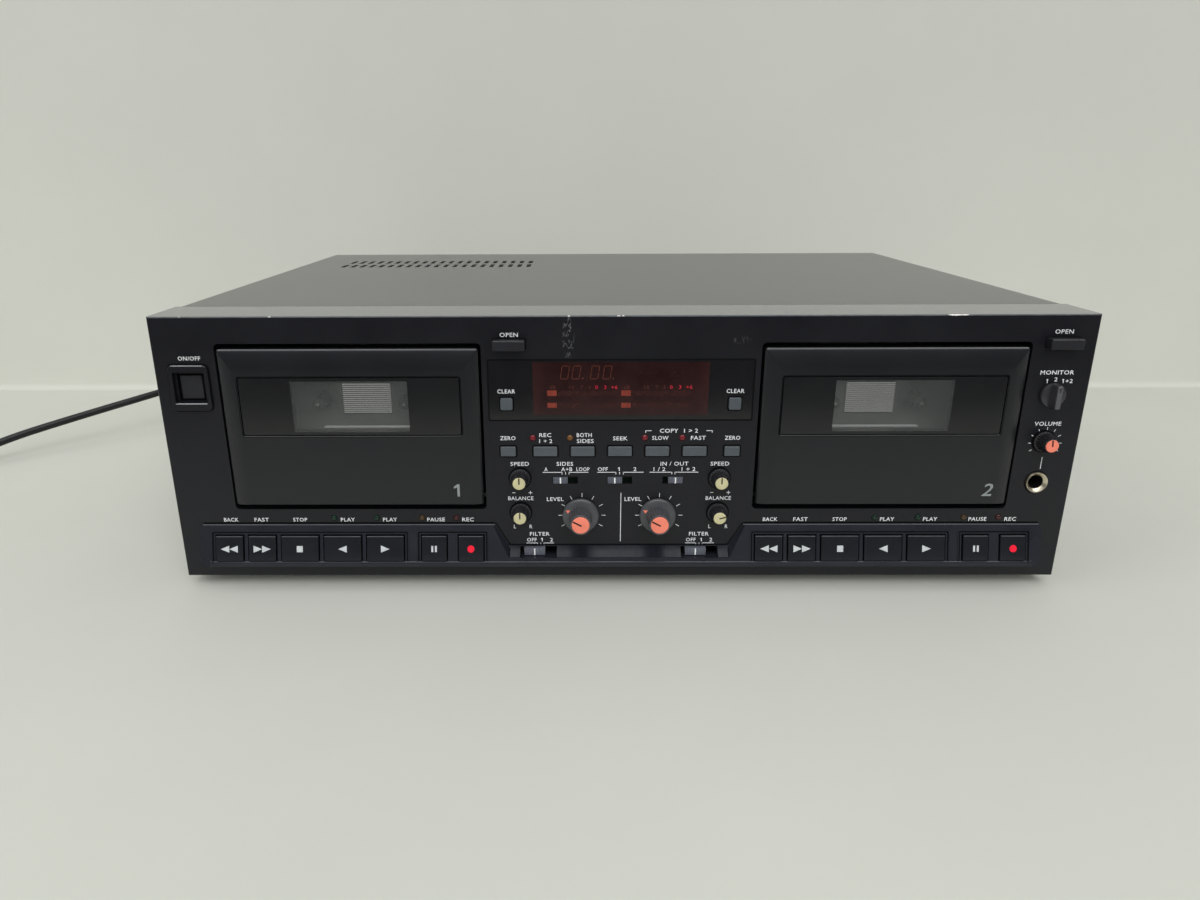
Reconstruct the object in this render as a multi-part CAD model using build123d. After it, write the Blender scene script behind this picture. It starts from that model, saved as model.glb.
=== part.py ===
import os
from math import pi, radians, sqrt, tan

from build123d import *

# Double cassette deck. The pieces are drawn in the panel's own frame: x across, y back from
# the front face, z up from the panel's lower edge. All sizes are in millimetres.

# Front panel, as a chain of widths and heights
centre_section_width = 130.6
side_column_width = 29.3
door_opening_width = 124.4
bezel_bottom = 8.2
bezel_height = 20.2
door_band = 8.1
door_opening_height = 82.8
door_opening_corner = 2.2
door_headroom = 12.7
panel_wall = 3.0
skirt_depth = 30.5
skirt_wall = 2.75
panel_edge_radius = 0.8
body_depth = 306.0
foot_height = 6.0

# Clearances shared by the pieces
overrun = 1.0
running_clearance = 0.05
slide_clearance = 0.3
key_clearance = 0.6
seat_gap = 0.3
sheet_gap = 0.2

# Cassette doors and their hinges
door_side_gap = 1.35
door_bottom_gap = 2.7
door_top_gap = 2.4
door_proud = 3.2
door_edge_proud = 1.2
door_bevel_side = 8.0
door_bevel_top = 11.0
door_bevel_bottom = 1.2
door_back = 8.0
door_skin = 2.5
door_frame = 3.0
hinge_depth = 4.6
hinge_rise = 3.2
hinge_pin_radius = 1.3
hinge_pin_length = 4.5
hinge_ear_width = 6.0
hinge_ear_height = 9.0
hinge_ear_wall = 2.6

# Door window and the cassette rails behind the door
window_width = 104.1
window_height = 28.3
window_rise = 50.45
window_thickness = 2.0
window_corner = 1.2
window_clear_width = 55.0
window_clear_height = 24.8
cassette_width = 100.4
rail_clearance = 0.8
rail_thickness = 2.0
rail_back = 26.0
rail_drop = 4.6
rail_height = 62.0

# Transport bezel: a wedge with a scooped middle
bezel_inset = 10.7
bezel_top_reach = 1.0
bezel_bottom_reach = 6.5
bezel_top_corner = 1.5
bezel_bottom_corner = 4.0
scoop_top_half = 61.6
scoop_bottom_half = 54.6
scoop_draft = 4.0
scoop_edge_reach = 0.5
scoop_rise = 8.8
lip_rise = 4.4
cove_sag = 1.1

# Transport keys
wind_key_width = 13.5
play_key_width = 18.4
pause_key_width = 12.3
key_gap = 2.85
pause_gap = 8.95
record_gap = 6.0
key_row_shift = 6.35
key_height = 12.2
key_rise = 2.9
key_proud = 0.7
key_edge_radius = 0.45
key_back = 5.0
key_travel = 2.0

# Indicator lamps
lamp_radius = 1.5
lamp_reach = 1.0
lamp_dome = 0.9
lamp_length = 4.5
lamp_row_rise = 3.4
play_lamp_shift = 4.15
pause_lamp_shift = 5.95
record_lamp_shift = 7.25

# Knobs of the middle section
balance_rise = 17.7
pitch_rise = 18.0
trim_knob_x = 48.5
trim_knob_radius = 4.9
trim_knob_top_radius = 3.5
trim_knob_reach = 8.5
trim_cap_radius = 3.2
trim_cap_height = 0.5
input_knob_x = 19.0
input_knob_drop = 1.5
input_skirt_radius = 9.0
input_skirt_edge = 0.9
input_skirt_reach = 2.6
input_grip_radius = 5.7
input_grip_top_radius = 4.9
input_knob_reach = 13.4
input_cap_radius = 4.5
knob_gap = 0.5
knob_shaft_radius = 3.0
knob_shaft_end = 4.5
knob_edge_radius = 0.35

# Slide switches
switch_drop = 1.1
switch_slot_height = 3.8
mode_slot_width = 12.2
mode_lever_width = 7.0
mode_switch_spacing = 26.5
output_slot_width = 10.1
lever_reach = 0.6
lever_back = 5.0
noise_switch_x = 40.05
noise_slot_width = 18.2
noise_slot_height = 4.4
noise_lever_width = 10.3
noise_end_room = 2.05
noise_lever_reach = 2.6
noise_switch_drop = 2.5

# Push buttons of the middle section
function_rise = 13.9
function_pitch = 17.95
function_width = 11.4
function_side_width = 7.3
function_side_x = 53.85
function_height = 4.8
function_reach = 1.0
function_back = 5.0
function_travel = 1.0
button_edge_radius = 0.3
button_corner = 0.5
function_lamp_rise = 6.6
function_lamp_shift = 6.05

# Display window with its two reset buttons
display_rise = 15.7
display_width = 124.4
display_height = 28.9
display_thickness = 2.0
display_ledge = 2.0
display_recess = 0.2
reset_x = 54.0
reset_rise = 7.9
reset_size = 5.8
reset_reach = 1.0
reset_corner = 0.9

# Eject and power buttons
eject_rise = 7.65
eject_x = 52.0
eject_width = 14.9
eject_height = 4.7
eject_reach = 5.0
eject_back = 10.0
control_inset = 1.35
power_z = 98.4
power_frame_width = 18.8
power_frame_height = 22.0
power_frame_reach = 1.2
power_frame_corner = 2.0
power_well_width = 15.4
power_well_height = 15.0
power_well_depth = 4.0
power_cup_wall = 2.0
power_button_width = 10.4
power_button_height = 11.4
power_button_depth = 1.6
power_button_back = 12.0

# Headphone controls in the right-hand column
selector_z = 94.0
selector_radius = 6.1
selector_disc_reach = 2.0
selector_bar_width = 2.6
selector_bar_length = 11.5
selector_reach = 6.5
phones_shift = 0.6
phones_knob_z = 71.2
jack_z = 50.4
jack_ring_radius = 5.2
jack_ring_reach = 1.4
jack_ring_chamfer = 1.0
jack_barrel_radius = 4.4
jack_bore_radius = 3.2
jack_bore_length = 30.0
jack_end_wall = 2.0

# Steel cover, tray, feet and screws
sheet = 1.2
cover_inset = 2.75
cover_skirt_height = 3.5
vent_count = 21
vent_pitch = 6.5
vent_width = 3.0
vent_length = 17.0
vent_row_gap = 25.0
vent_centre_x = -120.4
vent_rear_margin = 74.5
tray_flange_height = 16.0
foot_radius = 14.0
foot_lower_radius = 12.5
foot_edge = 1.5
foot_inset_x = 50.0
foot_inset_y = 52.0
screw_head_radius = 3.0
screw_head_height = 1.8
screw_shank_radius = 1.5
screw_length = 5.0
screw_rise = 11.0
screw_inset_y = 45.0
rear_screw_x = 150.0
rear_screw_drop = 8.0
rear_tab_height = 14.0

# Rear sockets and the lead's strain relief
socket_reach = 9.0
socket_radius = 4.1
socket_flange_radius = 5.6
socket_flange = 1.5
socket_bore_radius = 1.7
socket_inner_length = 10.0
socket_pitch_x = 15.0
socket_pitch_z = 14.0
socket_columns = 4
socket_first_x = 60.0
socket_first_z = 30.0
relief_inset = 28.85
relief_z = 27.0
relief_hole_radius = 6.0
relief_flange_radius = 8.0
relief_flange = 2.0
relief_boot_length = 20.0
relief_boot_base = 5.6
relief_boot_tip = 3.6
relief_inner_length = 6.0

# Tape mechanisms behind the doors
plate_depth = 30.0
plate_thickness = 2.0
plate_half_width = 58.0
plate_top_gap = 14.0
plate_foot_depth = 14.0
spindle_spacing = 42.5
spindle_rise = 46.5
spindle_radius = 3.0
spindle_tip_radius = 1.4
spindle_tip_depth = 15.8
spindle_tip_length = 1.4
spindle_base_gap = 1.0
spindle_fin_reach = 4.2
spindle_fin_width = 1.1
spindle_fin_inset = 2.5
spindle_fins = 3
spindle_shaft_radius = 1.5
spindle_shaft_tail = 4.0
reflector_width = 24.3
reflector_height = 15.7
reflector_thickness = 0.8
reflector_rib = 0.5
reflector_ribs = 9
reflector_rib_share = 0.5
head_block_width = 40.0
head_block_height = 9.0
head_block_rise = 5.0
head_block_depth = 12.0
head_width = 12.0
head_height = 4.0
head_depth = 6.0
motor_radius = 17.0
motor_length = 28.0
motor_rise = 24.0
flywheel_radius = 20.0
flywheel_thickness = 6.0
flywheel_x = 25.0
flywheel_rise = 8.0

# Circuit boards and the mains transformer
board_thickness = 1.6
control_board_depth = 13.0
control_board_margin = 3.0
control_board_bottom = 19.0
key_board_depth = 11.0
key_board_margin = 2.0
boss_radius = 2.5
boss_inset = 4.0
pot_width = 9.0
main_board_width = 250.0
main_board_depth = 180.0
main_board_side_gap = 18.65
main_board_rear_gap = 16.0
standoff_height = 8.0
standoff_radius = 3.0
standoff_inset = 12.0
capacitor_count = 4
capacitor_radius = 9.0
capacitor_height = 32.0
heat_sink_width = 60.0
heat_sink_height = 40.0
heat_sink_thickness = 4.0
transformer_side_gap = 21.65
transformer_rear_gap = 60.0
core_width = 62.0
core_depth = 34.0
core_height = 54.0
winding_width = 38.0
winding_depth = 58.0
winding_height = 34.0
transformer_foot_width = 84.0
transformer_foot_thickness = 2.0

# Mains lead, its coil and its plug
cord_diameter = 5.4
cord_floor_gap = 0.1
cord_bend_share = 0.45
coil_radius = 42.0
coil_pitch = 6.0
coil_half_turns = 6
coil_tail = 32.0
self_gap_skip = 8
plug_boot_length = 12.0
plug_boot_radius = 4.2
plug_width = 34.0
plug_thickness = 16.0
plug_length = 30.0
plug_corner = 4.0
plug_pin_radius = 2.0
plug_pin_length = 19.0
plug_pin_spacing = 19.0

# Places worked out from the sizes above
panel_width = centre_section_width + 2 * door_opening_width + 2 * side_column_width
half_width = panel_width / 2
bezel_top = bezel_bottom + bezel_height
door_opening_bottom = bezel_top + door_band
door_opening_top = door_opening_bottom + door_opening_height
panel_height = door_opening_top + door_headroom
door_centre = (centre_section_width + door_opening_width) / 2
door_width = door_opening_width - 2 * door_side_gap
door_bottom = door_opening_bottom + door_bottom_gap
door_top = door_opening_top - door_top_gap
hinge_z = door_bottom + hinge_rise
window_z = door_bottom + window_rise
scoop_top_z = bezel_bottom + scoop_rise
lip_z = bezel_bottom + lip_rise
balance_z = scoop_top_z + balance_rise
input_z = balance_z - input_knob_drop
pitch_z = balance_z + pitch_rise
switch_z = pitch_z - switch_drop
function_z = pitch_z + function_rise
function_lamp_z = function_z + function_lamp_rise
display_bottom = function_z + display_rise
display_z = display_bottom + display_height / 2
display_top = display_bottom + display_height
reset_z = display_bottom + reset_rise
eject_z = display_top + eject_rise
control_x = half_width - side_column_width / 2 - control_inset
phones_x = control_x - phones_shift
key_z = bezel_bottom + key_rise + key_height / 2
key_row_centre = door_centre + key_row_shift
lamp_row_z = bezel_top + lamp_row_rise
noise_z = scoop_top_z - noise_switch_drop
tray_bottom = skirt_wall
tray_top = tray_bottom + sheet
cover_half = half_width - cover_inset
tray_half = cover_half - sheet - sheet_gap
cover_front = skirt_depth + seat_gap
tray_inner_half = tray_half - sheet
main_board_x = tray_inner_half - main_board_side_gap - main_board_width / 2
transformer_x = transformer_side_gap + transformer_foot_width / 2 - tray_inner_half
relief_x = relief_inset - tray_half
spindle_z = door_bottom + spindle_rise
floor_z = -foot_height
relief_end = body_depth + relief_flange + relief_boot_length
total_depth = input_knob_reach + body_depth + socket_reach
place = Location((0, input_knob_reach - total_depth / 2, foot_height))

# Columns of buttons, keys and lamps
left_share = -1
right_share = 1
mirror_shares = (left_share, right_share)
key_widths = [wind_key_width] * 2 + [play_key_width] * 3 + [pause_key_width] * 2
key_gaps = [key_gap] * 4 + [pause_gap, record_gap]
key_names = [
    "rewind_key",
    "forward_key",
    "stop_key",
    "reverse_play_key",
    "play_key",
    "pause_key",
    "record_key",
]
lamp_shifts = {
    "reverse_play_key": play_lamp_shift,
    "play_key": play_lamp_shift,
    "pause_key": pause_lamp_shift,
    "record_key": record_lamp_shift,
}
function_names = [
    "return_zero_button_1",
    "dual_record_button",
    "sync_reverse_button",
    "program_search_button",
    "dub_normal_button",
    "dub_fast_button",
    "return_zero_button_2",
]
function_x = [-function_side_x] + [step * function_pitch for step in range(-2, 3)] + [function_side_x]
function_widths = [function_side_width] + [function_width] * 5 + [function_side_width]
lamp_buttons = ("dual_record_button", "sync_reverse_button", "dub_normal_button", "dub_fast_button")

# The mains lead's route, chosen by hand: out of the rear, round the left side, down to the floor
cord_floor_z = floor_z + cord_diameter / 2 + cord_floor_gap
cord_route = [
    (relief_x, relief_end, relief_z),
    (relief_x, 350.0, relief_z),
    (-203.0, 380.0, 27.5),
    (-240.0, 398.0, 28.0),
    (-290.0, 386.0, 28.0),
    (-334.0, 340.0, 27.0),
    (-366.0, 281.0, 24.0),
    (-407.0, 236.3, 16.9),
    (-445.0, 197.3, 9.2),
    (-470.0, 162.0, -2.0),
    (-484.0, 122.0, cord_floor_z),
    (-484.0, 84.0, cord_floor_z),
]

os.makedirs("parts", exist_ok=True)


# Shapes used by many pieces

def block(x0, x1, y0, y1, z0, z1):
    return Pos((x0 + x1) / 2, (y0 + y1) / 2, (z0 + z1) / 2) * Box(x1 - x0, y1 - y0, z1 - z0)


def facing(x, z, width, height, y0, y1):
    return block(x - width / 2, x + width / 2, y0, y1, z - height / 2, z + height / 2)


def rod(x, z, radius, y0, y1):
    return Pos(x, (y0 + y1) / 2, z) * Rot(90, 0, 0) * Cylinder(radius, y1 - y0)


def taper(x, z, front_radius, back_radius, y0, y1):
    return Pos(x, (y0 + y1) / 2, z) * Rot(90, 0, 0) * Cone(back_radius, front_radius, y1 - y0)


def rounded_facing(x, z, width, height, y0, y1, corner):
    face = Plane((x, y1, z), x_dir=(1, 0, 0), z_dir=(0, -1, 0)) * RectangleRounded(width, height, corner)
    return extrude(face, y1 - y0, dir=(0, -1, 0))


def along_x(profile, x0, x1):
    face = make_face(Plane((x0, 0, 0), x_dir=(0, 1, 0), z_dir=(1, 0, 0)) * profile)
    return extrude(face, x1 - x0, dir=(1, 0, 0))


def front_edges(solid):
    return solid.faces().sort_by(Axis.Y)[0].edges()


def save(name, *pieces):
    solids = [solid.moved(place) for piece in pieces for solid in piece.solids()]
    shape = solids[0] if len(solids) == 1 else Compound(solids)
    shape.label = name
    export_step(shape, f"parts/{name}.step")


# Places of the transport keys, from the widths and the gaps between them

def key_places(side):
    row_width = sum(key_widths) + sum(key_gaps)
    left = side * key_row_centre - row_width / 2
    places = []
    for index, width in enumerate(key_widths):
        places.append((left + width / 2, width))
        gap = key_gaps[index] if index < len(key_gaps) else 0
        left += width + gap
    return places


def lamp_places():
    places = []
    for name, x in zip(function_names, function_x):
        if name in lamp_buttons:
            places.append((x - function_lamp_shift, function_lamp_z))
    for side in mirror_shares:
        for name, (x, width) in zip(key_names, key_places(side)):
            if name in lamp_shifts:
                places.append((x - lamp_shifts[name], lamp_row_z))
    return places


def bezel_reach(z):
    drop_share = (bezel_top - z) / bezel_height
    return bezel_top_reach + (bezel_bottom_reach - bezel_top_reach) * drop_share


# Slide switches: name, place, slot width, lever width, side the lever rests at

lever_height = switch_slot_height - 2 * slide_clearance
noise_lever_height = noise_slot_height - 2 * slide_clearance
output_x = mode_switch_spacing - (mode_slot_width - output_slot_width) / 4
switches = [
    ("reverse_mode_switch", -mode_switch_spacing, switch_z, mode_slot_width, mode_lever_width, left_share),
    ("link_mode_switch", 0, switch_z, mode_slot_width, mode_lever_width, left_share),
    ("output_mode_switch", output_x, switch_z, output_slot_width, mode_lever_width, right_share),
    ("noise_switch_1", -noise_switch_x, noise_z, noise_slot_width, noise_lever_width, left_share),
    ("noise_switch_2", noise_switch_x, noise_z, noise_slot_width, noise_lever_width, left_share),
]


def slot_height(name):
    return noise_slot_height if name.startswith("noise") else switch_slot_height


def lever_place(name, x, slot_width, lever_width, rest_side):
    end_room = noise_end_room if name.startswith("noise") else slide_clearance
    return x + rest_side * (slot_width / 2 - lever_width / 2 - end_room)


# Front panel: a moulded shell with every opening that the controls need

def make_front_panel():
    shell = block(-half_width, half_width, 0, skirt_depth, 0, panel_height)
    shell = fillet(front_edges(shell), panel_edge_radius)
    inner = half_width - skirt_wall
    shell -= block(-inner, inner, panel_wall, skirt_depth + overrun, skirt_wall, panel_height - skirt_wall)
    cup_width = power_well_width + 2 * power_cup_wall
    cup_height = power_well_height + 2 * power_cup_wall
    cup_back = power_well_depth + power_cup_wall
    shell += facing(-control_x, power_z, cup_width, cup_height, panel_wall, cup_back)
    frame = rounded_facing(
        -control_x, power_z, power_frame_width, power_frame_height, -power_frame_reach, 0, power_frame_corner
    )
    shell += frame
    for side in mirror_shares:
        shell += hinge_ears(side * door_centre)
    for x, z, depth in boss_places():
        shell += rod(x, z, boss_radius, panel_wall, depth)
    cuts = [facing(-control_x, power_z, power_well_width, power_well_height,
                   -power_frame_reach - overrun, power_well_depth)]
    through = [(-control_x, power_z, power_button_width, power_button_height, cup_back)]
    for side in mirror_shares:
        x = side * door_centre
        door_z = (door_opening_bottom + door_opening_top) / 2
        cuts.append(rounded_facing(x, door_z, door_opening_width, door_opening_height,
                                   -overrun, panel_wall + overrun, door_opening_corner))
        for key_x, width in key_places(side):
            grown = width + 2 * key_clearance
            tall = key_height + 2 * key_clearance
            cuts.append(facing(key_x, key_z, grown, tall, -overrun, panel_wall + overrun))
    for x, width in zip(function_x, function_widths):
        through.append((x, function_z, width, function_height, panel_wall))
    for x in (-eject_x, control_x):
        through.append((x, eject_z, eject_width, eject_height, panel_wall))
    for x, z, width, height, back in through:
        grown = width + 2 * slide_clearance
        cuts.append(facing(x, z, grown, height + 2 * slide_clearance, -overrun, back + overrun))
    for name, x, z, width, lever, rest_side in switches:
        cuts.append(facing(x, z, width, slot_height(name), -overrun, panel_wall + overrun))
    pocket_depth = display_recess + display_thickness
    pocket_width = display_width + 2 * sheet_gap
    cuts.append(facing(0, display_z, pocket_width, display_height + 2 * sheet_gap, -overrun, pocket_depth))
    cuts.append(facing(0, display_z, display_width - 2 * display_ledge, display_height - 2 * display_ledge,
                       -overrun, panel_wall + overrun))
    for x, z in knob_places():
        cuts.append(rod(x, z, knob_shaft_radius + running_clearance, -overrun, panel_wall + overrun))
    for x, z in lamp_places():
        cuts.append(rod(x, z, lamp_radius + running_clearance, -overrun, panel_wall + overrun))
    jack_hole = jack_barrel_radius + running_clearance
    cuts.append(rod(phones_x, jack_z, jack_hole, -overrun, panel_wall + overrun))
    for cut in cuts:
        shell -= cut
    return shell


def hinge_ears(x):
    ears = []
    for side in mirror_shares:
        edge = x + side * door_opening_width / 2
        outer = edge + side * hinge_ear_width
        ear_back = hinge_depth + hinge_pin_radius + hinge_ear_wall
        ear = block(min(edge, outer), max(edge, outer), panel_wall, ear_back,
                    hinge_z - hinge_ear_height / 2, hinge_z + hinge_ear_height / 2)
        hole = Pos(edge, hinge_depth, hinge_z) * Rot(0, 90, 0) * Cylinder(
            hinge_pin_radius + running_clearance, 2 * hinge_ear_width + 2 * overrun)
        ears.append(ear - hole)
    return ears


def knob_places():
    places = [(side * trim_knob_x, z) for side in mirror_shares for z in (balance_z, pitch_z)]
    places += [(side * input_knob_x, input_z) for side in mirror_shares]
    return places + [(phones_x, selector_z), (phones_x, phones_knob_z)]


def boss_places():
    inset_x = centre_section_width / 2 - control_board_margin - boss_inset
    low_z = control_board_bottom + boss_inset
    high_z = display_bottom - boss_inset
    places = [(side * inset_x, z, control_board_depth) for side in mirror_shares for z in (low_z, high_z)]
    for side in mirror_shares:
        ends = key_board_ends(side)
        for x in (ends[0] + boss_inset, ends[1] - boss_inset):
            places.append((x, door_opening_bottom - boss_inset, key_board_depth))
    return places


def key_board_ends(side):
    places = key_places(side)
    left = places[0][0] - places[0][1] / 2 - key_board_margin
    right = places[-1][0] + places[-1][1] / 2 + key_board_margin
    return left, right


# Transport bezel: a wedge across the panel's foot, scooped out in the middle

def make_transport_bezel():
    bezel_half = half_width - bezel_inset
    outline = Plane((0, 0, (bezel_bottom + bezel_top) / 2), x_dir=(1, 0, 0), z_dir=(0, -1, 0)) * Rectangle(
        2 * bezel_half, bezel_height)
    lower = outline.vertices().group_by(Axis.Z)[0]
    outline = fillet(lower, bezel_bottom_corner)
    upper = outline.vertices().group_by(Axis.Z)[-1]
    outline = fillet(upper, bezel_top_corner)
    slab = extrude(outline, bezel_bottom_reach, dir=(0, -1, 0))
    wedge = Polyline((0, bezel_top), (-bezel_top_reach, bezel_top), (-bezel_bottom_reach, bezel_bottom),
                     (0, bezel_bottom), close=True)
    bezel = slab & along_x(wedge, -half_width, half_width)
    bezel -= scoop()
    for side in mirror_shares:
        for x, width in key_places(side):
            grown = width + 2 * key_clearance
            tall = key_height + 2 * key_clearance
            bezel -= facing(x, key_z, grown, tall, -bezel_bottom_reach - overrun, overrun)
    for name, x, z, width, lever, rest_side in switches:
        if name.startswith("noise"):
            bezel -= facing(x, z, width, noise_slot_height, -bezel_bottom_reach - overrun, overrun)
    return bezel


def scoop():
    reach = bezel_bottom_reach + overrun
    lip_reach = bezel_reach(lip_z)
    high = bezel_top + overrun
    middle_y = -(scoop_edge_reach + lip_reach) / 2 + cove_sag
    middle_z = (scoop_top_z + lip_z) / 2 - cove_sag
    cove = ThreePointArc((-scoop_edge_reach, scoop_top_z), (middle_y, middle_z), (-lip_reach, lip_z))
    rim = Polyline((-lip_reach, lip_z), (-reach, lip_z), (-reach, high), (overrun, high),
                   (overrun, scoop_top_z), (-scoop_edge_reach, scoop_top_z))
    above_cove = along_x(Wire([*cove.edges(), *rim.edges()]), -half_width, half_width)
    slope = (scoop_top_half - scoop_bottom_half) / (bezel_top - scoop_top_z)

    def outline(y, grow):
        low_half = scoop_bottom_half + grow - slope * (scoop_top_z - bezel_bottom)
        high_half = scoop_top_half + grow + slope * overrun
        low = [(-low_half, y, bezel_bottom), (low_half, y, bezel_bottom)]
        return Wire.make_polygon(low + [(high_half, y, high), (-high_half, y, high)])

    flared = Solid.make_loft([outline(overrun, 0), outline(-reach, scoop_draft)], True)
    return above_cove & flared


# Cassette door: a bevelled shell with hinge pins and cassette rails, and the window set into it

def make_door(x):
    half = door_width / 2

    def outline(y, side_inset, bottom_inset, top_inset):
        left, right = x - half + side_inset, x + half - side_inset
        low, high = door_bottom + bottom_inset, door_top - top_inset
        return Wire.make_polygon([(left, y, low), (right, y, low), (right, y, high), (left, y, high)])

    front = Solid.make_loft([
        outline(-door_edge_proud, 0, 0, 0),
        outline(-door_proud, door_bevel_side, door_bevel_bottom, door_bevel_top),
    ], True)
    door = front + block(x - half, x + half, -door_edge_proud, door_back, door_bottom, door_top)
    skin_back = door_skin - door_proud
    hollow_half = half - door_frame
    door -= block(x - hollow_half, x + hollow_half, skin_back, door_back + overrun,
                  door_bottom + door_frame, door_top - door_frame)
    frame_half = window_width / 2 + door_frame
    frame_height = window_height / 2 + door_frame
    door += block(x - frame_half, x + frame_half, skin_back, skin_back + door_skin,
                  window_z - frame_height, window_z + frame_height)
    pocket = window_thickness + sheet_gap
    door -= rounded_facing(x, window_z, window_width + 2 * sheet_gap, window_height + 2 * sheet_gap,
                           -door_proud - overrun, pocket - door_proud, window_corner)
    door -= facing(x, window_z, window_clear_width, window_clear_height, -door_proud, door_back + overrun)
    for side in mirror_shares:
        inner = x + side * (cassette_width / 2 + rail_clearance)
        outer = inner + side * rail_thickness
        door += block(min(inner, outer), max(inner, outer), skin_back, rail_back,
                      hinge_z + rail_drop, hinge_z + rail_drop + rail_height)
        pin_centre = x + side * (half + hinge_pin_length / 2 - door_frame / 2)
        door += Pos(pin_centre, hinge_depth, hinge_z) * Rot(0, 90, 0) * Cylinder(
            hinge_pin_radius, hinge_pin_length + door_frame)
    window = rounded_facing(x, window_z, window_width, window_height, sheet_gap - door_proud,
                            pocket - door_proud, window_corner)
    return door, window


# Keys, buttons and levers

def make_key(x, width):
    low, high = key_z - key_height / 2, key_z + key_height / 2
    low_front = -bezel_reach(low) - key_proud
    high_front = -bezel_reach(high) - key_proud
    profile = Polyline((key_back, low), (low_front, low), (high_front, high), (key_back, high), close=True)
    key = along_x(profile, x - width / 2, x + width / 2)
    return fillet(front_edges(key), key_edge_radius)


def make_button(x, z, width, height, front, back, corner):
    button = rounded_facing(x, z, width, height, front, back, corner)
    return fillet(front_edges(button), button_edge_radius)


# A slide switch's lever, which runs in its slot

def make_lever(x, z, width, height, reach):
    lever = facing(x, z, width, height, -reach, lever_back)
    return fillet(front_edges(lever), button_edge_radius)


# Knobs: shaft, tapered grip and a cap let into the end

def make_trim_knob(x, z):
    grip = taper(x, z, trim_knob_top_radius, trim_knob_radius, -trim_knob_reach + trim_cap_height, -knob_gap)
    cap = rod(x, z, trim_cap_radius, -trim_knob_reach, -trim_knob_reach + trim_cap_height)
    return grip + cap + rod(x, z, knob_shaft_radius, -knob_gap, knob_shaft_end)


def make_input_knob(x, z):
    skirt_front = input_skirt_radius - input_skirt_edge
    skirt = taper(x, z, skirt_front, input_skirt_radius, -input_skirt_reach, -knob_gap)
    grip_front = trim_cap_height - input_knob_reach
    grip = taper(x, z, input_grip_top_radius, input_grip_radius, grip_front, -input_skirt_reach)
    cap = rod(x, z, input_cap_radius, -input_knob_reach, grip_front)
    return skirt + grip + cap + rod(x, z, knob_shaft_radius, -knob_gap, knob_shaft_end)


def make_selector():
    disc = rod(phones_x, selector_z, selector_radius, -selector_disc_reach, -knob_gap)
    bar = facing(phones_x, selector_z, selector_bar_width, selector_bar_length,
                 -selector_reach, -selector_disc_reach)
    bar = fillet(front_edges(bar), knob_edge_radius)
    return disc + bar + rod(phones_x, selector_z, knob_shaft_radius, -knob_gap, knob_shaft_end)


# Display window, lamps and sockets

def make_display_window():
    window = facing(0, display_z, display_width, display_height,
                    display_recess, display_recess + display_thickness)
    for side in mirror_shares:
        grown = reset_size + 2 * slide_clearance
        window -= facing(side * reset_x, reset_z, grown, grown, -overrun, panel_wall + overrun)
    return window


def make_lamp(x, z):
    lamp = rod(x, z, lamp_radius, -lamp_reach, lamp_length)
    return fillet(front_edges(lamp), lamp_dome)


def make_phones_jack():
    ring = rod(phones_x, jack_z, jack_ring_radius, -jack_ring_reach, 0)
    ring = chamfer(front_edges(ring), jack_ring_chamfer)
    barrel_end = jack_bore_length - jack_ring_reach + jack_end_wall
    jack = ring + rod(phones_x, jack_z, jack_barrel_radius, 0, barrel_end)
    bore_end = barrel_end - jack_end_wall
    return jack - rod(phones_x, jack_z, jack_bore_radius, -jack_ring_reach - overrun, bore_end)


def rear_socket_places():
    columns = [socket_first_x + step * socket_pitch_x for step in range(socket_columns)]
    return [(x, socket_first_z + row * socket_pitch_z) for row in range(2) for x in columns]


def make_rear_socket(x, z):
    socket = rod(x, z, socket_flange_radius, body_depth, body_depth + socket_flange)
    socket += rod(x, z, socket_radius, body_depth - socket_inner_length, body_depth + socket_reach)
    return socket - rod(x, z, socket_bore_radius, body_depth, body_depth + socket_reach + overrun)


# Steel cover and tray

def side_screw_places():
    return [(side, y, tray_top + screw_rise) for side in mirror_shares
            for y in (cover_front + screw_inset_y, body_depth - screw_inset_y)]


def rear_screw_places():
    return [(side * rear_screw_x, panel_height - sheet - rear_screw_drop) for side in mirror_shares]


def make_top_cover():
    outer = block(-cover_half, cover_half, cover_front, body_depth, cover_skirt_height, panel_height)
    inner_half = cover_half - sheet
    cover = outer - block(-inner_half, inner_half, cover_front - overrun, body_depth + overrun,
                          cover_skirt_height - overrun, panel_height - sheet)
    tab_back = body_depth - sheet - sheet_gap
    tab_bottom = panel_height - sheet - rear_tab_height
    cover += block(-inner_half, inner_half, tab_back - sheet, tab_back, tab_bottom, panel_height - sheet)
    rear_row = body_depth - vent_rear_margin + vent_row_gap / 2
    for row in range(2):
        y = rear_row - row * vent_row_gap
        for step in range(vent_count):
            x = vent_centre_x + (step - (vent_count - 1) / 2) * vent_pitch
            cover -= block(x - vent_width / 2, x + vent_width / 2, y - vent_length / 2, y + vent_length / 2,
                           panel_height - sheet - overrun, panel_height + overrun)
    for side, y, z in side_screw_places():
        cover -= side_bar(side, y, z, screw_shank_radius + running_clearance, cover_half - sheet - overrun,
                          cover_half + overrun)
    for x, z in rear_screw_places():
        hole_radius = screw_shank_radius + running_clearance
        cover -= rod(x, z, hole_radius, tab_back - sheet - overrun, tab_back + overrun)
    return cover


def side_bar(side, y, z, radius, start, end):
    return Pos(side * (start + end) / 2, y, z) * Rot(0, 90, 0) * Cylinder(radius, end - start)


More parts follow.
